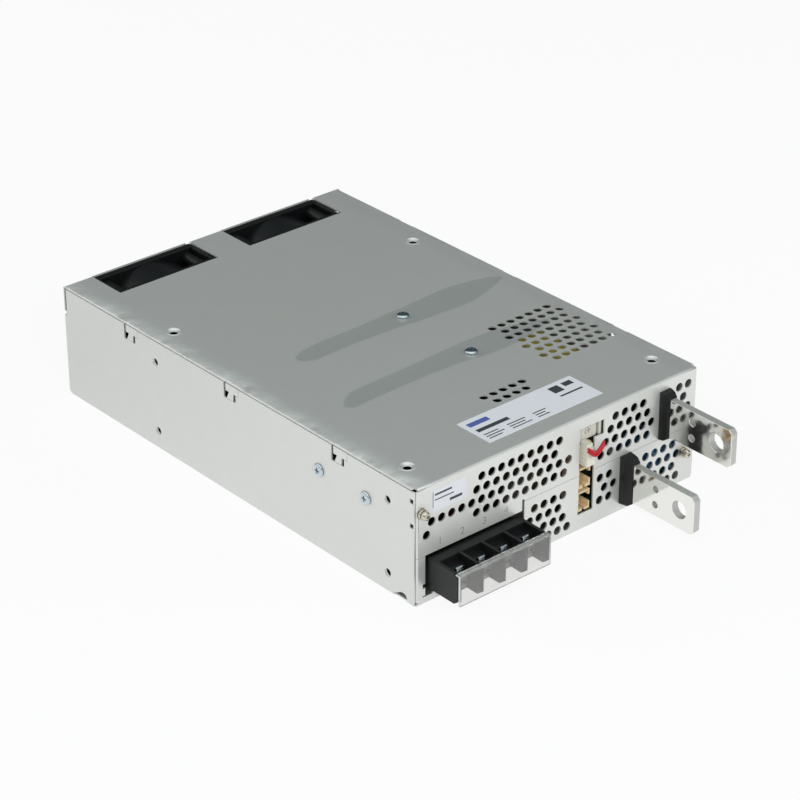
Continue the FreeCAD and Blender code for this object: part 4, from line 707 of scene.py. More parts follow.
def top_plate_outline():
    """The cover's flat top, notched at the hooks and round the fans; its ends are the folds and rolled edges."""
    front = FRONT_FOLD + ROLL_STOP
    rear = REAR_FOLD - ROLL_STOP
    notch_x = FOLD_X - SEAM
    right = [(FLANGE_X, FRONT_FOLD), (FLANGE_X, front), (ROLL_X, front)]
    for y in HOOK_Y:
        low = y - HOOK_WIDTH / 2
        high = y + HOOK_WIDTH / 2
        right += [(ROLL_X, low - HOOK_RELIEF), (notch_x, low - HOOK_RELIEF), (FOLD_X, low),
                  (FOLD_X, high), (notch_x, high + HOOK_RELIEF), (ROLL_X, high + HOOK_RELIEF)]
    right += [(ROLL_X, rear), (SIDE, rear)]
    back = []
    for x0, x1 in reversed(rear_ranges()):
        back += [(x1, REAR_FOLD), (x0, REAR_FOLD), (x0, COVER_OPENING_Y), (x0 - 2 * FAN_OPENING, COVER_OPENING_Y)]
    return right + back[:-2] + [(-x, y) for x, y in reversed(right)]


def bushing_window(side):
    """The hole in the front for a bar's bushing."""
    low, high = node_box(side + "_bar_bushing")
    neck = BUSHING_NECK
    return box_outline(low.x + neck, high.x - neck, low.z + neck, high.z - neck)


def corner_roll(bm, sign, z0, z1):
    """The rolled end of a front panel, beside a side."""
    x = sign * FLANGE_X
    fold(bm, (x, FRONT, z0), (x, FRONT, z1), (x, FRONT + CORNER_ROLL, 0), Z, 90 * sign)


def cover_top(bm):
    """The flat top, with its drawn fixing holes, its vents and the seats pressed into it."""
    holes = [(x, y, DRAWN_RIM) for x in (-FIXING_X, FIXING_X) for y in FIXING_Y]
    holes += top_vents()
    seats = []

    def seat_rims(bm):
        for number in range(len(SEATS)):
            outer = loop(bm, seat_outline(number, SEAT_SLOPE))
            inner = loop(bm, seat_outline(number, 0))
            for vert in {v for edge in inner for v in edge.verts}:
                vert.co.z = -seat_depth(number, vert.co.x)
            seats.append((outer, inner))
        return [edge for outer, inner in seats for edge in outer]

    panel(bm, Matrix.Translation((0, 0, TOP)), top_plate_outline(), holes, more=seat_rims)
    for (outer, inner), (x, y) in zip(seats, SEAT_SCREWS):
        bmesh.ops.bridge_loops(bm, edges=outer + inner)
        rim = circle(bm, x, y, SCREW_HOLE, z=TOP - SEAT_DEPTH)
        fill(bm, inner + rim)


def cover_front(bm):
    """The flange that is folded down over the front."""
    split = SPLIT_Z + SEAM
    low = INLET_TOP_Z + SEAM
    notch_x = INLET_X[1] - STEP_NOTCH[0]
    notch_z = split + STEP_NOTCH[1]
    flange = [(-FLANGE_X, TOP - BEND), (-FLANGE_X, low), (notch_x, low), (notch_x, notch_z), (INLET_X[1], notch_z),
              (INLET_X[1], split), (SIGNAL_X[0], split), (SIGNAL_X[0], SIGNAL_Z[1]), (TRIMMER_WINDOW[0], SIGNAL_Z[1]),
              TRIMMER_WINDOW, (SIGNAL_X[1], TRIMMER_WINDOW[1]), (SIGNAL_X[1], split), (FLANGE_X, split),
              (FLANGE_X, TOP - BEND)]
    holes = front_vents(UPPER_VENTS) + [plain_hole(*PANEL_SCREWS[0], SCREW_HOLE)]
    panel(bm, to_front(0, FRONT, 0), flange, holes, [bushing_window("upper")])
    fold(bm, (-FLANGE_X, FRONT_FOLD, TOP), (FLANGE_X, FRONT_FOLD, TOP), (0, FRONT_FOLD, TOP - BEND), X, 90)
    corner_roll(bm, -1, low, TOP - BEND)
    corner_roll(bm, 1, split, TOP - BEND)


def cover_rear(bm):
    """The tabs that are folded down beside the fans."""
    for x0, x1 in rear_ranges():
        tab = box_outline(x0, x1, REAR_TAB_Z, TOP - BEND)
        panel(bm, frame_of(X, Z, Y, (0, REAR, 0)), tab)
        fold(bm, (x0, REAR_FOLD, TOP), (x1, REAR_FOLD, TOP), (0, REAR_FOLD, TOP - BEND), X, -90)


def cover_edge(bm, sign):
    """The hooks of a long edge, and the rolls between them."""
    for y in HOOK_Y:
        panel(bm, to_side(sign), hook_outline(y))
        start = (sign * FOLD_X, y - HOOK_WIDTH / 2, TOP)
        end = (sign * FOLD_X, y + HOOK_WIDTH / 2, TOP)
        fold(bm, start, end, (sign * FOLD_X, 0, TOP - BEND), Y, 90 * sign)
    x = sign * ROLL_X
    for y0, y1 in roll_ranges():
        fold(bm, (x, y0, TOP), (x, y1, TOP), (x, 0, TOP - EDGE_ROLL), Y, ROLL_TURN * sign)


def top_cover():
    """The upper sheet of the case."""
    bm = bmesh.new()
    cover_top(bm)
    cover_front(bm)
    cover_rear(bm)
    for sign in (-1, 1):
        cover_edge(bm, sign)
    return sheet_piece("cover_sheet", bm, ("top_cover",), ((0, 30, TOP), Z))


def ring_slot(x, inner, outer, first, last):
    """Outline of a slot between two radii and two angles about a fan's axis."""
    turns = [math.radians(first + (last - first) * k / GUARD_STEPS) for k in range(GUARD_STEPS + 1)]
    rim = [(x + outer * math.cos(t), FAN_Z + outer * math.sin(t)) for t in turns]
    return rim + [(x + inner * math.cos(t), FAN_Z + inner * math.sin(t)) for t in reversed(turns)]


def guard_slots(x):
    """The guard's slots before a fan: two rings, crossed by four spokes."""
    slots = []
    for inner, outer in GUARD_RINGS:
        for quarter in range(4):
            first = 90 * quarter + GUARD_SPOKE / 2
            slots.append(ring_slot(x, inner, outer, first, first + 90 - GUARD_SPOKE))
    return slots


def fan_hole_spots():
    """(x, z) of the fans' fixing holes."""
    return [(fan + dx, FAN_Z + dz) for fan in (-FAN_X, FAN_X)
            for dx in (-FAN_HOLES, FAN_HOLES) for dz in (-FAN_HOLES, FAN_HOLES)]


def rear_wall(bm):
    """The wall behind the fans, with their guards and the crests above them."""
    lower = SHEET / 2  # the wall's foot between its folds, over the fan openings
    outline = []
    top = []
    ranges = rear_ranges(EDGE_X)
    for x0, x1 in ranges:
        outline += [(x0, lower), (x0, BEND), (x1, BEND), (x1, lower)]
    outline = outline[1:-1]
    outline[0] = (-FOLD_X, BEND)
    outline[-1] = (FOLD_X, BEND)
    for (_, left), (right, _) in zip(ranges, ranges[1:]):
        top = [(right - SEAM, REAR_TAB_Z - SEAM), (right - SEAM, TOP - CREST_NOTCH[1]),
               (right - CREST_NOTCH[0], TOP - CREST_NOTCH[1]), (right - CREST_NOTCH[0], CREST), (left + SEAM, CREST),
               (left + SEAM, REAR_TAB_Z - SEAM)] + top
    ends = [(EDGE_X, CORNER_Z), (EDGE_X, REAR_TAB_Z - SEAM)]
    outline += ends + top + [(-x, z) for x, z in reversed(ends)]
    slots = guard_slots(-FAN_X) + guard_slots(FAN_X)
    holes = [plain_hole(x, z, FAN_HOLE_R) for x, z in fan_hole_spots()]
    panel(bm, frame_of(X, Z, Y, (0, REAR, 0)), outline, holes, slots)


def lower_front(bm):
    """The front's lower half, cut out for the terminals and the signal connectors."""
    left, right = INLET_X
    deep, latch_low, latch_high = INLET_LATCH
    key_left, key_right, key_deep = INLET_KEY
    sill = INLET_SILL_Z
    outline = [(-FOLD_X, BEND), (FOLD_X, BEND), (FLANGE_X, CORNER_Z), (FLANGE_X, SPLIT_Z), (SIGNAL_X[1], SPLIT_Z),
               (SIGNAL_X[1], SIGNAL_Z[0]), (SIGNAL_X[0], SIGNAL_Z[0]), (SIGNAL_X[0], SPLIT_Z), (right, SPLIT_Z),
               (right, sill), (left + key_right, sill), (left + key_right, sill - key_deep),
               (left - key_left, sill - key_deep), (left - key_left, sill), (left, sill), (left, latch_low),
               (left - deep, latch_low), (left - deep, latch_high), (left, latch_high), (left, INLET_TOP_Z),
               (-FLANGE_X, INLET_TOP_Z), (-FLANGE_X, CORNER_Z)]
    holes = front_vents(LOWER_VENTS) + [plain_hole(*PANEL_SCREWS[1], SCREW_HOLE)]
    panel(bm, to_front(0, FRONT, 0), outline, holes, [bushing_window("lower")])
    corner_roll(bm, -1, CORNER_Z, INLET_TOP_Z)
    corner_roll(bm, 1, CORNER_Z, SPLIT_Z)


def side_wall(bm, sign):
    """A side, open for the hooks along its top and arched at its foot."""
    near, far = FOOT_ARCH
    rise = FOOT_RISE
    cut = FOOT_CORNER
    notch_z = REAR_TAB_Z - REAR_NOTCH
    outline = [(FRONT_FOLD, BEND), (near, BEND), (near, rise - cut), (near + cut / 3, rise - cut / 3),
               (near + cut, rise), (near + 2 * cut, rise - FOOT_SAG), (far, BEND), (REAR_FOLD, BEND),
               (REAR, CORNER_Z), (REAR, notch_z), (REAR_END, notch_z), (REAR_END, WALL_TOP)]
    for y in reversed(HOOK_Y):
        outline += reversed(hook_gap(y))
    outline += [(SIDE_FRONT, WALL_TOP), (SIDE_FRONT, CORNER_Z)]
    holes = [(y, z, SIDE_RIM) for y in FIXING_Y for z in FIXING_Z]
    windows = []
    if sign < 0:
        holes += [plain_hole(y, z, SCREW_HOLE) for y, z in SIDE_SCREWS]
        back, wide, tall = TAB_SLOT
        for step in (-1, 1):
            z = PANEL_SCREWS[0][1] + step * (SCREW_TAB_TALL + tall) / 2
            y = FRONT + back
            windows.append(box_outline(y, y + wide, z - tall / 2, z + tall / 2))
    panel(bm, to_side(sign), outline, holes, windows)
    x = sign * FOLD_X
    for y0, y1 in ((FRONT_FOLD, near), (far, REAR_FOLD)):
        fold(bm, (x, y0, 0), (x, y1, 0), (x, 0, BEND), Y, -sign * 90)


def chassis():
    """The lower sheet of the case: floor, front, rear and sides."""
    bm = bmesh.new()
    inner = FAN_X - FAN_OPENING
    outer = FAN_X + FAN_OPENING
    right = [(FOLD_X, FRONT_FOLD), (FOLD_X, FOOT_ARCH[0]), (FOLD_X, FOOT_ARCH[1]), (FOLD_X, REAR_FOLD),
             (outer, REAR_FOLD), (outer, FLOOR_OPENING_Y), (inner, FLOOR_OPENING_Y), (inner, REAR_FOLD)]
    outline = right + [(-x, y) for x, y in reversed(right)]
    holes = [(x, y, SIDE_RIM) for x in (-FIXING_X, FIXING_X) for y in FIXING_Y]
    panel(bm, frame_of(X, Y, -Z), outline, holes)
    lower_front(bm)
    rear_wall(bm)
    fold(bm, (-FOLD_X, FRONT_FOLD, 0), (FOLD_X, FRONT_FOLD, 0), (0, FRONT_FOLD, BEND), X, -90)
    for x0, x1 in ((-FOLD_X, -outer), (-inner, inner), (outer, FOLD_X)):
        fold(bm, (x0, REAR_FOLD, 0), (x1, REAR_FOLD, 0), (0, REAR_FOLD, BEND), X, 90)
    for sign in (-1, 1):
        side_wall(bm, sign)
    return sheet_piece("chassis_sheet", bm, ("chassis",), ((0, 30, 0), -Z))


# Screws and washers
HEAD_STEPS = 32
CROWN = 0.6  # flat middle of a head, of its radius
HEAD_SHAPE = ((0.74, 0.06), (0.87, 0.18), (0.96, 0.4), (1.0, 0.66), (1.0, 0.92), (0.97, 1.0))  # radius, depth
CROSS = (0.48, 0.12, 0.8)  # arm, half width and floor of the cross recess, of the head's radius
WASHERS = ((2.9, 0.5), (2.45, 1.0), (2.6, 0.5))  # flat, spring and upper flat washer: radius, thickness
HEAD_LIFT = 0.2  # shadow gap under a head's rim
SPRING_GAP = 14.0  # degrees that a spring washer's split is open
SPRING_LIFT = 0.3
RECESS = 0.85  # depth of the cross recess, of the head's height
SHANK_TIP = 0.5  # chamfer of a shank's end, of its radius
WASHER_EDGE = 0.2  # chamfer of a washer's rim, of its thickness
# radius and height of the head, radius and length of the shank
SCREWS = {
    "heatsink_screws": (3.3, 1.2, 1.45, 6.0),
    "side_screws": (3.4, 1.1, 1.45, 4.4),
    "panel_screws": (2.2, 2.4, 1.45, 5.0),
    "fan_screws": (3.4, 2.0, 2.0, 9.0),
    "terminal_screws": (3.4, 2.8, 1.9, 8.0),
}


def cross_outline(arm, half):
    """A plus sign."""
    corner = [(arm, -half), (arm, half), (half, half)]
    return [(c * x - d * y, d * x + c * y) for c, d in ((1, 0), (0, 1), (-1, 0), (0, -1)) for x, y in corner]


def screw(bm, place, radius, height, shank, length):
    """Pan head with a cross recess, seated on the place's origin with its shank behind it."""
    first = len(bm.verts)
    rim = circle(bm, 0, 0, CROWN * radius, HEAD_STEPS, height)
    arm, half, floor = CROSS
    recess = loop(bm, cross_outline(arm * radius, half * radius), height)
    fill(bm, rim + recess)
    fill(bm, next_ring(bm, recess, (0, 0), floor, height * RECESS))
    profile = [(CROWN * radius, 0.0)] + [(r * radius, d * height) for r, d in HEAD_SHAPE]
    end = height + length
    tip = shank * SHANK_TIP
    profile += [(shank, height), (shank, end), (tip, end + tip)]
    fill(bm, profile_rings(bm, rim, (0, 0), profile))
    put(bm, first, place)


def screws(name, places, finish=None):
    """One kind of screw at its places, each lifted by its shadow gap."""
    radius, height, shank, length = SCREWS[name]
    bm = bmesh.new()
    for place in places:
        screw(bm, place @ Matrix.Translation((0, 0, HEAD_LIFT)), radius, height, shank, length + HEAD_LIFT)
    return closed(name, "turned", bm, sharp=30.0, finish=finish)


def washer(bm, place, radius, hole, thick):
    """A flat washer with a chamfered rim, seated on the place's origin."""
    first = len(bm.verts)
    edge = thick * WASHER_EDGE
    face = radius - edge
    profile = ((face, 0.0), (hole, 0.0), (hole, thick), (radius, thick), (radius, edge), (face, 0.0))
    profile_rings(bm, circle(bm, 0, 0, face, HEAD_STEPS, thick), (0, 0), profile)
    put(bm, first, place)


def spring_washer(bm, place, radius, hole, thick):
    """One turn of square wire, sprung open at its split."""
    first = len(bm.verts)
    corners = [(hole, 0.0), (radius, 0.0), (radius, thick), (hole, thick)]
    verts = [bm.verts.new((x, 0, z)) for x, z in corners]
    edges = [bm.edges.new((verts[i - 1], verts[i])) for i in range(len(verts))]
    step = (0, 0, SPRING_LIFT / HEAD_STEPS)
    turn = math.radians(360 - SPRING_GAP)
    bmesh.ops.spin(bm, geom=verts + edges, axis=Z, dvec=step, angle=turn, steps=HEAD_STEPS)
    bm.verts.ensure_lookup_table()
    ends = {e for v in bm.verts[first:] for e in v.link_edges if len(e.link_faces) == 1}
    bmesh.ops.holes_fill(bm, edges=list(ends), sides=4)
    put(bm, first, place)


METALS = {
    # nickel plate on steel: bright, with a warm cast
    "nickel_plate": grained("nickel_plate", "#cfc9bb", 0.17, 0.3, metal=1.0, spread=0.06),
    # zinc plate darkened as painted shade of the pockets behind the guard: dark grey with a soft shine
    "zinc_painted_shade": grained("zinc_painted_shade", "#6b6d6e", 0.36, 0.3, metal=1.0, spread=0.1),
}


def panel_washers():
    """Flat, spring and flat washer under each panel screw."""
    bm = bmesh.new()
    (flat_r, flat), (spring_r, spring), (upper_r, upper) = WASHERS
    for x, z in PANEL_SCREWS:
        washer(bm, to_front(x, FRONT, z), flat_r, SCREW_HOLE, flat)
        spring_washer(bm, to_front(x, FRONT - flat, z), spring_r, SCREW_HOLE, spring - SPRING_LIFT)
        washer(bm, to_front(x, FRONT - flat - spring, z), upper_r, SCREW_HOLE, upper)
    nickel = METALS["nickel_plate"]
    return closed("panel_washers", "turned", bm, weld=True, rounded=0.08, sharp=30.0, finish=nickel)


def all_screws():
    """Every screw, and the washers under the panel's."""
    screws("heatsink_screws", [Matrix.Translation((x, y, TOP - SEAT_DEPTH)) for x, y in SEAT_SCREWS])
    screws("side_screws", [frame_of(-Y, Z, -X, (-SIDE, y, z)) for y, z in SIDE_SCREWS])
    stack = FRONT - sum(thick for _, thick in WASHERS)
    screws("panel_screws", [to_front(x, stack, z) for x, z in PANEL_SCREWS], METALS["nickel_plate"])
    screws("fan_screws", [frame_of(-X, Z, Y, (x, REAR, z)) for x, z in fan_hole_spots()])
    seat = node_box("terminal_washers")[0].y
    # their dark finish is painted shade of the pockets behind the guard
    screws("terminal_screws", [to_front(x, seat, POLE_Z) for x in POLE_X], METALS["zinc_painted_shade"])
    panel_washers()


# Print
INK = {
    # screen print on film: flat charcoal
    "dark_ink": grained("dark_ink", "#3b3d44", 0.5, 0.4, spread=0.05),
    # the same in a flat blue
    "blue_ink": grained("blue_ink", "#5563a8", 0.5, 0.4, spread=0.05),
    # thin print on bare sheet: pale, matt and a little patchy
    "grey_ink": grained("grey_ink", "#8d908e", 0.55, 0.3, spread=0.08),
}
PRINT_THICK = 0.03
# bars as (x0, x1, y0, y1) from the label's upper left corner
LABEL_HEADING = (2.6, 15.0, -6.6, -3.2)
LABEL_TITLE = (2.6, 22.0, -12.4, -9.8)
LABEL_ROWS = (-15.6, -17.6, -19.6)
LABEL_COLUMNS = {2.6: (9.0, 11.0, 8.0), 17.0: (11.0, 9.5, 12.0), 33.0: (8.0, 6.0, 7.0)}  # left end: row lengths
LABEL_LINE = 0.35  # half height of a row
LABEL_MARKS = ((17.0, 11.0, -8.6, -2.8), (8.6, 3.0, -6.4, -2.8), (17.0, 3.0, -12.6, -11.4))  # x from the right end
FRONT_BARS = ((1.4, 11.5, 7.9, 8.9), (1.4, 12.6, 5.4, 6.0), (10.2, 17.6, 2.2, 3.6), (0.2, 0.5, 2.0, 10.0))
NUMBER_SIZE = 5.2
NUMBER_Z = 28.0


def bars(name, place, rows, ink, slot):
    """Printed bars, given as (x0, x1, y0, y1) on a flat place."""
    bm = bmesh.new()
    for x0, x1, y0, y1 in rows:
        size = Matrix.Diagonal((x1 - x0, y1 - y0, PRINT_THICK, 1.0))
        middle = Matrix.Translation(((x0 + x1) / 2, (y0 + y1) / 2, PRINT_THICK / 2))
        bmesh.ops.create_cube(bm, size=1.0, matrix=place @ middle @ size)
    return piece(name, bm, slot, finish=INK[ink])


def label_print():
    """Printed bars on the two labels."""
    low, high = node_box("rating_label")
    place = Matrix.Translation((low.x, high.y, high.z))
    wide = high.x - low.x
    bars("label_heading", place, [LABEL_HEADING], "blue_ink", "label_film")
    fields = [LABEL_TITLE]
    for x, reaches in LABEL_COLUMNS.items():
        fields += [(x, x + reach, y - LABEL_LINE, y + LABEL_LINE) for y, reach in zip(LABEL_ROWS, reaches)]
    fields += [(wide - x0, wide - x1, y0, y1) for x0, x1, y0, y1 in LABEL_MARKS]
    bars("label_fields", place, fields, "dark_ink", "label_film")
    corner = node_box("front_label")[0]
    bars("front_label_fields", to_front(*corner), FRONT_BARS, "dark_ink", "label_film")


def pole_numbers():
    """Plain numbers over the terminals."""
    bm = bmesh.new()
    for number, x in enumerate(POLE_X, 1):
        words = bpy.data.curves.new("number", "FONT")
        words.body = str(number)
        words.size = NUMBER_SIZE
        words.align_x = "CENTER"
        words.extrude = PRINT_THICK / 2
        add_curve(bm, words, to_front(x, FRONT - PRINT_THICK / 2, NUMBER_Z))
    return piece("pole_numbers", bm, "galvanised_steel", finish=INK["grey_ink"])


# Terminal block
BLOCK_LOW, BLOCK_HIGH = node_box("terminal_block")
WALL = 1.7
WALLS = 5
WALL_PITCH = (BLOCK_HIGH.x - BLOCK_LOW.x - WALL) / (WALLS - 1)
BLOCK_FOOT = 8.0
BLOCK_TOP = BLOCK_HIGH.z
BLOCK_FACE = -145.0
POCKET_BACK = -140.0
POCKET_Z = 20.4
LIP_END = -152.0  # where the guard's lips begin
LIP_THICK = 0.9
BLOCK_SHOULDER = 21.0  # the part of the block behind the panel reaches this height
FOOT_SLOPE = 2.0
WALL_TOE = (1.2, 1.0)  # step in a wall's lower front corner: depth, height
GUARD_PLATE = 1.3
GUARD_LAP = 0.8  # the guard's lip stops this far before the walls' step
CLAMP = (1.9, 4.0)  # half widths of a clamp washer's tab and of the washer
PLATE_HALF = 4.8


def prism(bm, place, outline, thick, hole=0.0):
    """A flat outline, with a round hole in its middle if it has one, drawn out along its place's z."""
    first = len(bm.verts)
    edges = loop(bm, outline)
    if hole:
        made = fill(bm, edges + circle(bm, 0, 0, hole, BORE_STEPS))["geom"]
        faces = [g for g in made if isinstance(g, bmesh.types.BMFace)]
    else:
        faces = bmesh.ops.contextual_create(bm, geom=edges)["faces"]
    drawn = bmesh.ops.extrude_face_region(bm, geom=faces, use_keep_orig=True)["geom"]
    ends = [g for g in drawn if isinstance(g, bmesh.types.BMVert)]
    bmesh.ops.translate(bm, vec=(0, 0, thick), verts=ends)
    put(bm, first, place)


def along_x(x):
    """Place of a drawing in (y, z) that is drawn out to the right."""
    return frame_of(Y, Z, X, (x, 0, 0))


def block(bm, low, high):
    """A box between two corners."""
    prism(bm, Matrix.Translation((0, 0, low[2])), box_outline(low[0], high[0], low[1], high[1]), high[2] - low[2])


def terminal_block():
    """Five walls, each the block's whole profile, with the pockets' steps between them."""
    bm = bmesh.new()
    deep = BLOCK_HIGH.y
    foot = BLOCK_LOW.z
    shoulder = BLOCK_SHOULDER
    back = [(FRONT_IN, BLOCK_FOOT), (FRONT_IN + FOOT_SLOPE, foot), (deep, foot), (deep, shoulder), (FRONT, shoulder),
            (FRONT, BLOCK_TOP)]
    step = [(BLOCK_FACE, BLOCK_FOOT), *back, (POCKET_BACK, BLOCK_TOP), (POCKET_BACK, POCKET_Z),
            (BLOCK_FACE, POCKET_Z)]
    tip = BLOCK_LOW.y
    low = BLOCK_FOOT + LIP_THICK
    high = BLOCK_TOP - LIP_THICK
    heel = tip + WALL_TOE[0]
    toe = low + WALL_TOE[1]
    wall = [(LIP_END, BLOCK_FOOT), *back, (LIP_END, BLOCK_TOP), (LIP_END, high), (tip, high), (tip, toe), (heel, toe),
            (heel, low), (LIP_END, low)]
    for number in range(WALLS):
        x = BLOCK_LOW.x + number * WALL_PITCH
        prism(bm, along_x(x), wall, WALL)
        if number:
            prism(bm, along_x(x - WALL_PITCH + WALL), step, WALL_PITCH - WALL)
    return closed("terminal_block", "moulded", bm, rounded=0.22)


def terminal_cover():
    """Clear guard: a plate in front of the terminals, with a lip over the walls."""
    low, high = node_box("terminal_cover")
    plate = low.y + GUARD_PLATE
    lip = high.z - LIP_THICK
    end = LIP_END - GUARD_LAP
    outline = [(low.y, low.z), (plate, low.z), (plate, lip), (end, lip), (end, high.z), (low.y, high.z)]
    bm = bmesh.new()
    prism(bm, along_x(low.x), outline, high.x - low.x)
    return closed("terminal_cover", "moulded", bm, rounded=0.3, steps=3)


def pressed(node_name, outline, rounded):
    """The four poles' copies of a flat pressing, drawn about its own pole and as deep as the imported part."""
    low, high = node_box(node_name)
    bm = bmesh.new()
    for x in POLE_X:
        prism(bm, to_front(0, high.y, 0), [(x + dx, z) for dx, z in outline], high.y - low.y)
    closed(node_name, "pressed", bm, rounded=rounded)


def terminal_metal():
    """Clamp washers with a lifted tab, and the plates that they close on."""
    tab, half = CLAMP
    top = node_box("terminal_washers")[1].z
    right = [(half, POLE_Z - half), (half, POLE_Z), (tab, POLE_Z), (tab, top)]
    pressed("terminal_washers", [(-x, z) for x, z in reversed(right)] + right, 0.2)
    foot = node_box("terminal_plates")[0].z
    pressed("terminal_plates", box_outline(-PLATE_HALF, PLATE_HALF, foot, POLE_Z), 0.15)


# Signal connectors
PLUG = ((13.3, -137.4, 35.2), (19.0, -129.0, 44.2))
PLUG_HEAD = ((13.3, -137.4, 44.0), (17.0, -132.2, 47.3))
PLUG_RIBS = (37.6, 40.3, 43.0)
TRIMMER = ((12.2, -131.7, 46.6), (24.4, -122.2, 54.5))
TRIMMER_CLIP = ((25.2, -132.6, 46.8), (26.9, -122.2, 54.3))
TRIMMER_BORE = (2.05, 2.3)  # radius and depth of the screw's seat
HEADER_X = (12.2, 20.2)
HEADER_Z = ((9.4, 20.0), (21.8, 32.6), (35.6, 45.4))
HEADER_Y = (-133.0, -126.0, -122.2)  # mouth, floor, board
HEADER_WALL = 1.0
HEADER_NOTCH = 3.0
HEADER_SILL = 1.6 * HEADER_WALL  # height of the split lower lip
HEADER_SPLIT = 0.7  # half width of its split
PLUG_RIB = (0.3, 0.4, 0.8, 0.5)  # out of the plug's side, into it, behind its face, half height
TRIMMER_FINS = (1.2, 2.5)  # from the trimmer's left end
TRIMMER_FIN = (0.7, 0.25, 0.5)  # width, stand-off, inset
BORE_OVERLAP = 0.2

MOULDINGS = {
    # natural nylon gone tan, moulded: its own tan, made a little darker as painted shade of the panel over the
    # headers; warm, nearly matt
    "tan_nylon_and_shade": grained("tan_nylon_and_shade", "#d6bd97", 0.45, 0.5, spread=0.06, bump=0.004),
    # fresh nylon, moulded: white with a soft sheen
    "white_nylon": grained("white_nylon", "#d6d3c6", 0.42, 0.5, spread=0.04, bump=0.004),
    # moulded polyester case: pale warm grey, nearly matt
    "grey_case": grained("grey_case", "#c6c4ba", 0.45, 0.5, spread=0.04, bump=0.004),
}


def signal_headers():
    """Three open boxes, each with a split lower lip and a notched right wall."""
    bm = bmesh.new()
    x0, x1 = HEADER_X
    mouth, floor_y, board = HEADER_Y
    wall = HEADER_WALL
    middle = (x0 + x1) / 2
    for z0, z1 in HEADER_Z:
        block(bm, (x0, floor_y, z0), (x1, board, z1))
        block(bm, (x0, mouth, z0), (x0 + wall, floor_y, z1))
        block(bm, (x0 + wall, mouth, z1 - wall), (x1, floor_y, z1))
        block(bm, (x0 + wall, mouth, z0), (middle - HEADER_SPLIT, floor_y, z0 + HEADER_SILL))
        block(bm, (middle + HEADER_SPLIT, mouth, z0), (x1, floor_y, z0 + HEADER_SILL))
        block(bm, (x1 - wall, mouth, z0 + HEADER_SILL), (x1, floor_y, z0 + HEADER_NOTCH + wall))
        block(bm, (x1 - wall, mouth, z1 - HEADER_NOTCH), (x1, floor_y, z1 - wall))
    return closed("signal_headers", "moulded", bm, rounded=0.15, finish=MOULDINGS["tan_nylon_and_shade"])


def jumper_plug():
    """The plug in the upper header, ribbed down its side."""
    bm = bmesh.new()
    low, high = PLUG
    block(bm, low, high)
    block(bm, *PLUG_HEAD)
    out, into, back, half = PLUG_RIB
    for z in PLUG_RIBS:
        block(bm, (low[0] - out, low[1] + back, z - half), (low[0] + into, high[1], z + half))
    return closed("jumper_plug", "moulded", bm, rounded=0.25, finish=MOULDINGS["white_nylon"])


def trimmer_body():
    """A case with a bore that the screw turns in, two fins on its face, and the clip beside it."""
    bm = bmesh.new()
    low, high = TRIMMER
    radius, deep = TRIMMER_BORE
    screw_low, screw_high = node_box("trimmer_screw")
    middle = (screw_low + screw_high) / 2
    floor_y = low[1] + deep
    block(bm, (low[0], floor_y, low[2]), high)
    face = box_outline(low[0] - middle.x, high[0] - middle.x, low[2] - middle.z, high[2] - middle.z)
    prism(bm, to_front(middle.x, floor_y + BORE_OVERLAP, middle.z), face, deep + BORE_OVERLAP, radius)
    block(bm, *TRIMMER_CLIP)
    wide, proud, inset = TRIMMER_FIN
    for x in TRIMMER_FINS:
        start = low[0] + x
        block(bm, (start, low[1] - proud, low[2] + inset), (start + wide, low[1] + inset, high[2] - inset))
    return closed("trimmer_body", "moulded", bm, rounded=0.2, finish=MOULDINGS["grey_case"])


# Jumper
WIRE_R = 0.65
LINK = ((13.7, -138.7, 44.0), (14.7, -139.9, 42.7), (16.6, -140.2, 41.6), (19.5, -140.0, 43.1), (22.0, -139.8, 45.5))
LINK_ROOTS = ((14.2, -135.5, 43.4), (15.2, -135.5, 42.8))  # both ends, inside the plug
LINK_BACK = (0.86, 1.0, -0.72)  # a link's way back, from its way out
LINK_SHIFTS = ((0.0, 0.0, 0.0), (0.0, 0.3, 1.5))


def jumper_wires():
    """Two short insulated links looped through the plug."""
    bm = bmesh.new()
    for shift in LINK_SHIFTS:
        back = [Vector(spot) + Vector(LINK_BACK) for spot in reversed(LINK)]
        route = [Vector(spot) + Vector(shift) for spot in (LINK_ROOTS[0], *LINK, *back, LINK_ROOTS[1])]
        line = bpy.data.curves.new("link", "CURVE")
        line.dimensions = "3D"
        line.bevel_depth = WIRE_R
        line.bevel_resolution = 4
        line.use_fill_caps = True
        spline = line.splines.new("NURBS")
        spline.points.add(len(route) - 1)
        for point, spot in zip(spline.points, route):
            point.co = (*spot, 1.0)
        spline.order_u = 3
        spline.use_endpoint_u = True
        spline.resolution_u = 6
        add_curve(bm, line)
    return piece("jumper_links", bm, "red_insulation", ("jumper_wires",))


# Fans
DUCT_R = 30.0
BORE_R = 28.4
FLANGE = 4.0
POST_R = 3.4
SEAT_R = 15.3
SEAT_THICK = 4.2
STRUT = 4.0
FLANK = 1.6  # walls between the flanges
FLANGE_RISE = 0.3  # the flanges stand a little proud of the square
SEAT_BORE = 2.0
EASE = 0.1  # pieces of the frame that would share a face stay this far apart
LAP = 0.5  # or run this far into each other
POST_SET = 1.0  # posts stop short of the frame's faces
# glass-filled polyester, moulded: a deeper black than the other mouldings, with a soft sheen
FAN_PLASTIC = grained("fan_plastic", "#0e0f10", 0.38, 0.3, spread=0.1, bump=0.006, specular_ior_level=0.3)


def tube(bm, place, radius, hole, length, steps=BORE_STEPS):
    """A ring from a place's origin backwards."""
    first = len(bm.verts)
    profile = ((radius, 0.0), (hole, 0.0), (hole, length), (radius, length), (radius, 0.0))
    profile_rings(bm, circle(bm, 0, 0, radius, steps), (0, 0), profile)
    put(bm, first, place)


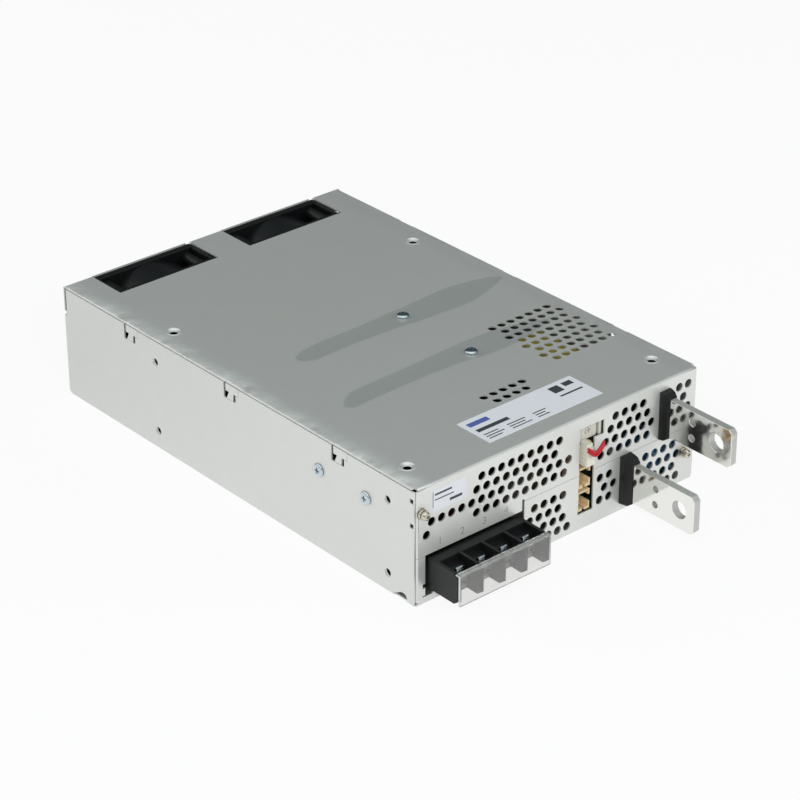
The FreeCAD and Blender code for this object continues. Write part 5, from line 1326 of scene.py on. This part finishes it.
def fan_frame(side, sign):
    """Two square flanges on a round duct, with posts at the corners and a motor seat on four struts."""
    bm = bmesh.new()
    x = sign * FAN_X
    half = FAN_SIZE / 2
    deep = FAN_BACK - FAN_FRONT
    back = frame_of(-X, Z, Y, (x, FAN_BACK, FAN_Z))
    tube(bm, back @ Matrix.Translation((0, 0, -FLANGE / 2)), DUCT_R - EASE, BORE_R, deep - FLANGE)
    square = box_outline(-half, half, -half, half + FLANGE_RISE)
    for y in (FAN_FRONT, FAN_BACK - FLANGE):
        prism(bm, to_front(x, y + FLANGE, FAN_Z), square, FLANGE, BORE_R + 2 * EASE)
    for start in (x - half + EASE, x + half - EASE - FLANK):
        block(bm, (start, FAN_FRONT + FLANGE - LAP, FAN_Z - half + EASE),
              (start + FLANK, FAN_BACK - FLANGE + LAP, FAN_Z + half - EASE))
    for dx in (-FAN_HOLES, FAN_HOLES):
        for dz in (-FAN_HOLES, FAN_HOLES):
            post = back @ Matrix.Translation((dx, dz, -POST_SET))
            tube(bm, post, POST_R, FAN_HOLE_R, deep - 2 * POST_SET, HOLE_STEPS)
    seat = frame_of(-X, Z, Y, (x, FAN_FRONT + SEAT_THICK, FAN_Z))
    tube(bm, seat, SEAT_R, SEAT_BORE, SEAT_THICK)
    arm = box_outline(SEAT_R - 2 * LAP, BORE_R + LAP, -STRUT / 2, STRUT / 2)
    for quarter in range(4):
        turned = seat @ Matrix.Rotation(math.radians(45 + 90 * quarter), 4, "Z")
        prism(bm, turned @ Matrix.Translation((0, 0, LAP - SEAT_THICK)), arm, SEAT_THICK - 2 * LAP)
    return closed("fan_frame_" + side, "moulded", bm, weld=True, rounded=0.4, finish=FAN_PLASTIC)


# Stage and light: the camera's place is fitted to the photograph
AZIMUTH = -40.723
ELEVATION = 28.791
ROLL = -0.214
TARGET = Vector((7.263, -12.309, 21.647))
DISTANCE = 1415.2
LENS = 129.31
SENSOR = 36.0


def camera():
    """The camera at its fitted place."""
    a, e, r = (math.radians(v) for v in (AZIMUTH, ELEVATION, ROLL))
    back = Vector((math.sin(a) * math.cos(e), -math.cos(a) * math.cos(e), math.sin(e)))
    right = Z.cross(back).normalized()
    up = back.cross(right)
    turned = Matrix.Rotation(r, 3, back)
    data = bpy.data.cameras.new("camera")
    data.lens = LENS
    data.sensor_width = SENSOR
    data.sensor_fit = "HORIZONTAL"
    obj = bpy.data.objects.new("camera", data)
    obj.matrix_world = frame_of(turned @ right, turned @ up, back, (TARGET + back * DISTANCE) * MM)
    bpy.context.collection.objects.link(obj)
    bpy.context.scene.camera = obj


AMBIENT = (0.40, 0.27)  # even light from low down and from overhead
OVERHEAD_TINT = (0.8, 1.0, 0.98)
# how bright the studio looks in metal towards its dark far end: (height of the direction, level)
STUDIO_BANDS = ((0.0, 1.0), (0.14, 0.08), (0.42, 0.04), (0.54, 0.06), (0.64, 0.15), (0.76, 0.4), (0.88, 0.5),
                (0.95, 1.4))
STUDIO_TINT = (0.84, 1.0, 0.99)
STUDIO_FAR = (0.65, 0.76, 0.0)  # direction of that end
FAR_EDGE = (-0.35, 0.35)
NEAR_LEVELS = (0.36, 1.3)  # least level towards the other end, low down and overhead
NEAR_RISE = (0.46, 0.66)
SCREEN = (-0.55, 0.6, 0.58)  # direction of a pale screen that the left-hand folds mirror
SCREEN_EDGE = (0.84, 0.94)  # cosines at its soft edge
SCREEN_LEVEL = 1.15
FLOOR_SIZE = 4.0
FLOOR_GLOW = 0.9
FLOOR_FADE = (0.0, 0.16, 0.84)  # where the floor that the metal mirrors starts and ends to dim, and to what
WHITE = (1.0, 1.0, 1.0, 1.0)
AIM = Vector((0, 0, 0.03))
# place and size in metres, power in watts
SOFTBOXES = {
    "key": ((-1.0, -1.3, 1.1), (1.4, 1.0), 21.0),
    "left_rear": ((-0.9, 1.1, 0.8), (0.9, 0.6), 6.5),
    "right_front": ((1.0, -1.4, 0.7), (0.9, 0.6), 11.0),
}


def world():
    """White round about, darker overhead where metal shows it, and a plain even light."""
    made = bpy.data.worlds.new("studio")
    made.use_nodes = True
    made.cycles.sampling_method = "NONE"
    tree = made.node_tree
    path = node(tree, "LightPath").outputs
    way = node(tree, "TexCoord").outputs["Generated"]
    height = node(tree, "SeparateXYZ", {0: way}).outputs[2]
    bands = node(tree, "ValToRGB", {"Fac": height})
    ramp = bands.color_ramp
    while len(ramp.elements) < len(STUDIO_BANDS):
        ramp.elements.new(1.0)
    for stop, (position, level) in zip(ramp.elements, STUDIO_BANDS):
        stop.position = position
        stop.color = [level if level == 1.0 else level * part for part in STUDIO_TINT] + [1.0]
    low, overhead = AMBIENT
    above = [overhead * part for part in OVERHEAD_TINT] + [1.0]
    plain = node(tree, "Mix", {0: height, 6: [low] * 3 + [1.0], 7: above}, data_type="RGBA").outputs[2]
    away = node(tree, "VectorMath", {0: way, 1: STUDIO_FAR}, operation="DOT_PRODUCT").outputs["Value"]
    far = node(tree, "MapRange", {"Value": away, "From Min": FAR_EDGE[0], "From Max": FAR_EDGE[1]},
               interpolation_type="SMOOTHSTEP").outputs[0]
    least = node(tree, "MapRange", {"Value": height, "From Min": NEAR_RISE[0], "From Max": NEAR_RISE[1],
                                    "To Min": NEAR_LEVELS[0], "To Max": NEAR_LEVELS[1]}).outputs[0]
    near = node(tree, "Mix", {0: 1.0, 6: bands.outputs["Color"], 7: least}, data_type="RGBA", blend_type="LIGHTEN")
    shown = node(tree, "Mix", {0: far, 6: near.outputs[2], 7: bands.outputs["Color"]}, data_type="RGBA")
    beside = node(tree, "VectorMath", {0: way, 1: SCREEN}, operation="DOT_PRODUCT").outputs["Value"]
    screen = node(tree, "MapRange", {"Value": beside, "From Min": SCREEN_EDGE[0], "From Max": SCREEN_EDGE[1],
                                     "To Max": SCREEN_LEVEL}, interpolation_type="SMOOTHSTEP").outputs[0]
    walls = node(tree, "Mix", {0: 1.0, 6: shown.outputs[2], 7: screen}, data_type="RGBA", blend_type="LIGHTEN")
    mixed = node(tree, "Mix", {0: path["Is Glossy Ray"], 6: plain, 7: walls.outputs[2]}, data_type="RGBA")
    seen = node(tree, "Math", {0: path["Is Camera Ray"], 1: path["Is Transmission Ray"]}, operation="MAXIMUM")
    final = node(tree, "Mix", {0: seen.outputs[0], 6: mixed.outputs[2], 7: WHITE}, data_type="RGBA")
    tree.links.new(final.outputs[2], tree.nodes["Background"].inputs["Color"])
    bpy.context.scene.world = made


def floor():
    """Pale seamless floor: white where it is seen or mirrored, with the object's soft shadow."""
    bm = bmesh.new()
    bmesh.ops.create_grid(bm, x_segments=1, y_segments=1, size=FLOOR_SIZE)
    mesh = bpy.data.meshes.new("floor")
    bm.to_mesh(mesh)
    bm.free()
    obj = bpy.data.objects.new("floor", mesh)
    material = bpy.data.materials.new("white_paper")
    material.use_nodes = True
    material.cycles.emission_sampling = "NONE"
    tree = material.node_tree
    path = node(tree, "LightPath").outputs
    seen = node(tree, "Math", {0: path["Is Camera Ray"], 1: path["Is Transmission Ray"]}, operation="MAXIMUM")
    seen = node(tree, "Math", {0: seen.outputs[0], 1: path["Is Glossy Ray"]}, operation="MAXIMUM")
    part = node(tree, "Math", {0: seen.outputs[0], 1: FLOOR_GLOW}, operation="MULTIPLY")
    paper = node(tree, "BsdfDiffuse", {"Color": colour("#f4f4f4")})
    along = node(tree, "SeparateXYZ", {0: node(tree, "TexCoord").outputs["Object"]}).outputs[1]
    start, end, least = FLOOR_FADE
    dim = node(tree, "MapRange", {"Value": along, "From Min": start, "From Max": end, "To Min": 1.0, "To Max": least})
    level = node(tree, "Mix", {0: path["Is Glossy Ray"], 2: 1.0, 3: dim.outputs[0]})
    glow = node(tree, "Emission", {"Color": WHITE, "Strength": level.outputs[0]})
    both = node(tree, "MixShader", {0: part.outputs[0], 1: paper.outputs[0], 2: glow.outputs[0]})
    tree.links.new(both.outputs[0], tree.nodes["Material Output"].inputs["Surface"])
    mesh.materials.append(material)
    bpy.context.collection.objects.link(obj)


def softbox(name, place, size, power):
    """A soft lamp turned towards the object."""
    data = bpy.data.lights.new(name, "AREA")
    data.shape = "RECTANGLE"
    data.size, data.size_y = size
    data.energy = power
    obj = bpy.data.objects.new(name, data)
    obj.location = place
    obj.rotation_euler = (AIM - Vector(place)).to_track_quat("-Z", "Y").to_euler()
    obj.visible_glossy = False  # metal mirrors the studio's walls and floor, without a glare
    bpy.context.collection.objects.link(obj)


def studio():
    """The camera, the light and the floor."""
    camera()
    world()
    floor()
    for name, row in SOFTBOXES.items():
        softbox(name, *row)
    bpy.context.scene.view_settings.view_transform = "Standard"


NODE_FINISH = {
    # silvered film: half glossy, close to the sheet's own tone
    "front_label": grained("silver_film", "#d2d3d9", 0.4, 0.8, spread=0.015),
    # solder mask darkened nearly to black green as painted shade of the deep slot behind the connectors; half glossy
    "signal_board": grained("board_painted_shade", "#0d1712", 0.4, 0.6, spread=0.12),
    "trimmer_screw": MOULDINGS["grey_case"],
}
for name, obj in frame["nodes"].items():
    obj.data.materials.clear()
    obj.data.materials.append(NODE_FINISH.get(name, FINISHES[SLOTS[name]]))

studio()
top_cover()
chassis()
all_screws()
label_print()
pole_numbers()
jumper_wires()
jumper_plug()
trimmer_body()
terminal_block()
terminal_metal()
terminal_cover()
signal_headers()
for side, sign in (("left", -1), ("right", 1)):
    fan_frame(side, sign)
    softened("fan_rotor_" + side, 0.25, side + "_rotor", finish=FAN_PLASTIC)
for name, width, steps in (("upper_bar_bushing", 0.7, 1), ("lower_bar_bushing", 0.7, 1),
                           ("upper_bus_bar", 0.5, 3), ("lower_bus_bar", 0.5, 3)):
    softened(name, width, steps=steps)
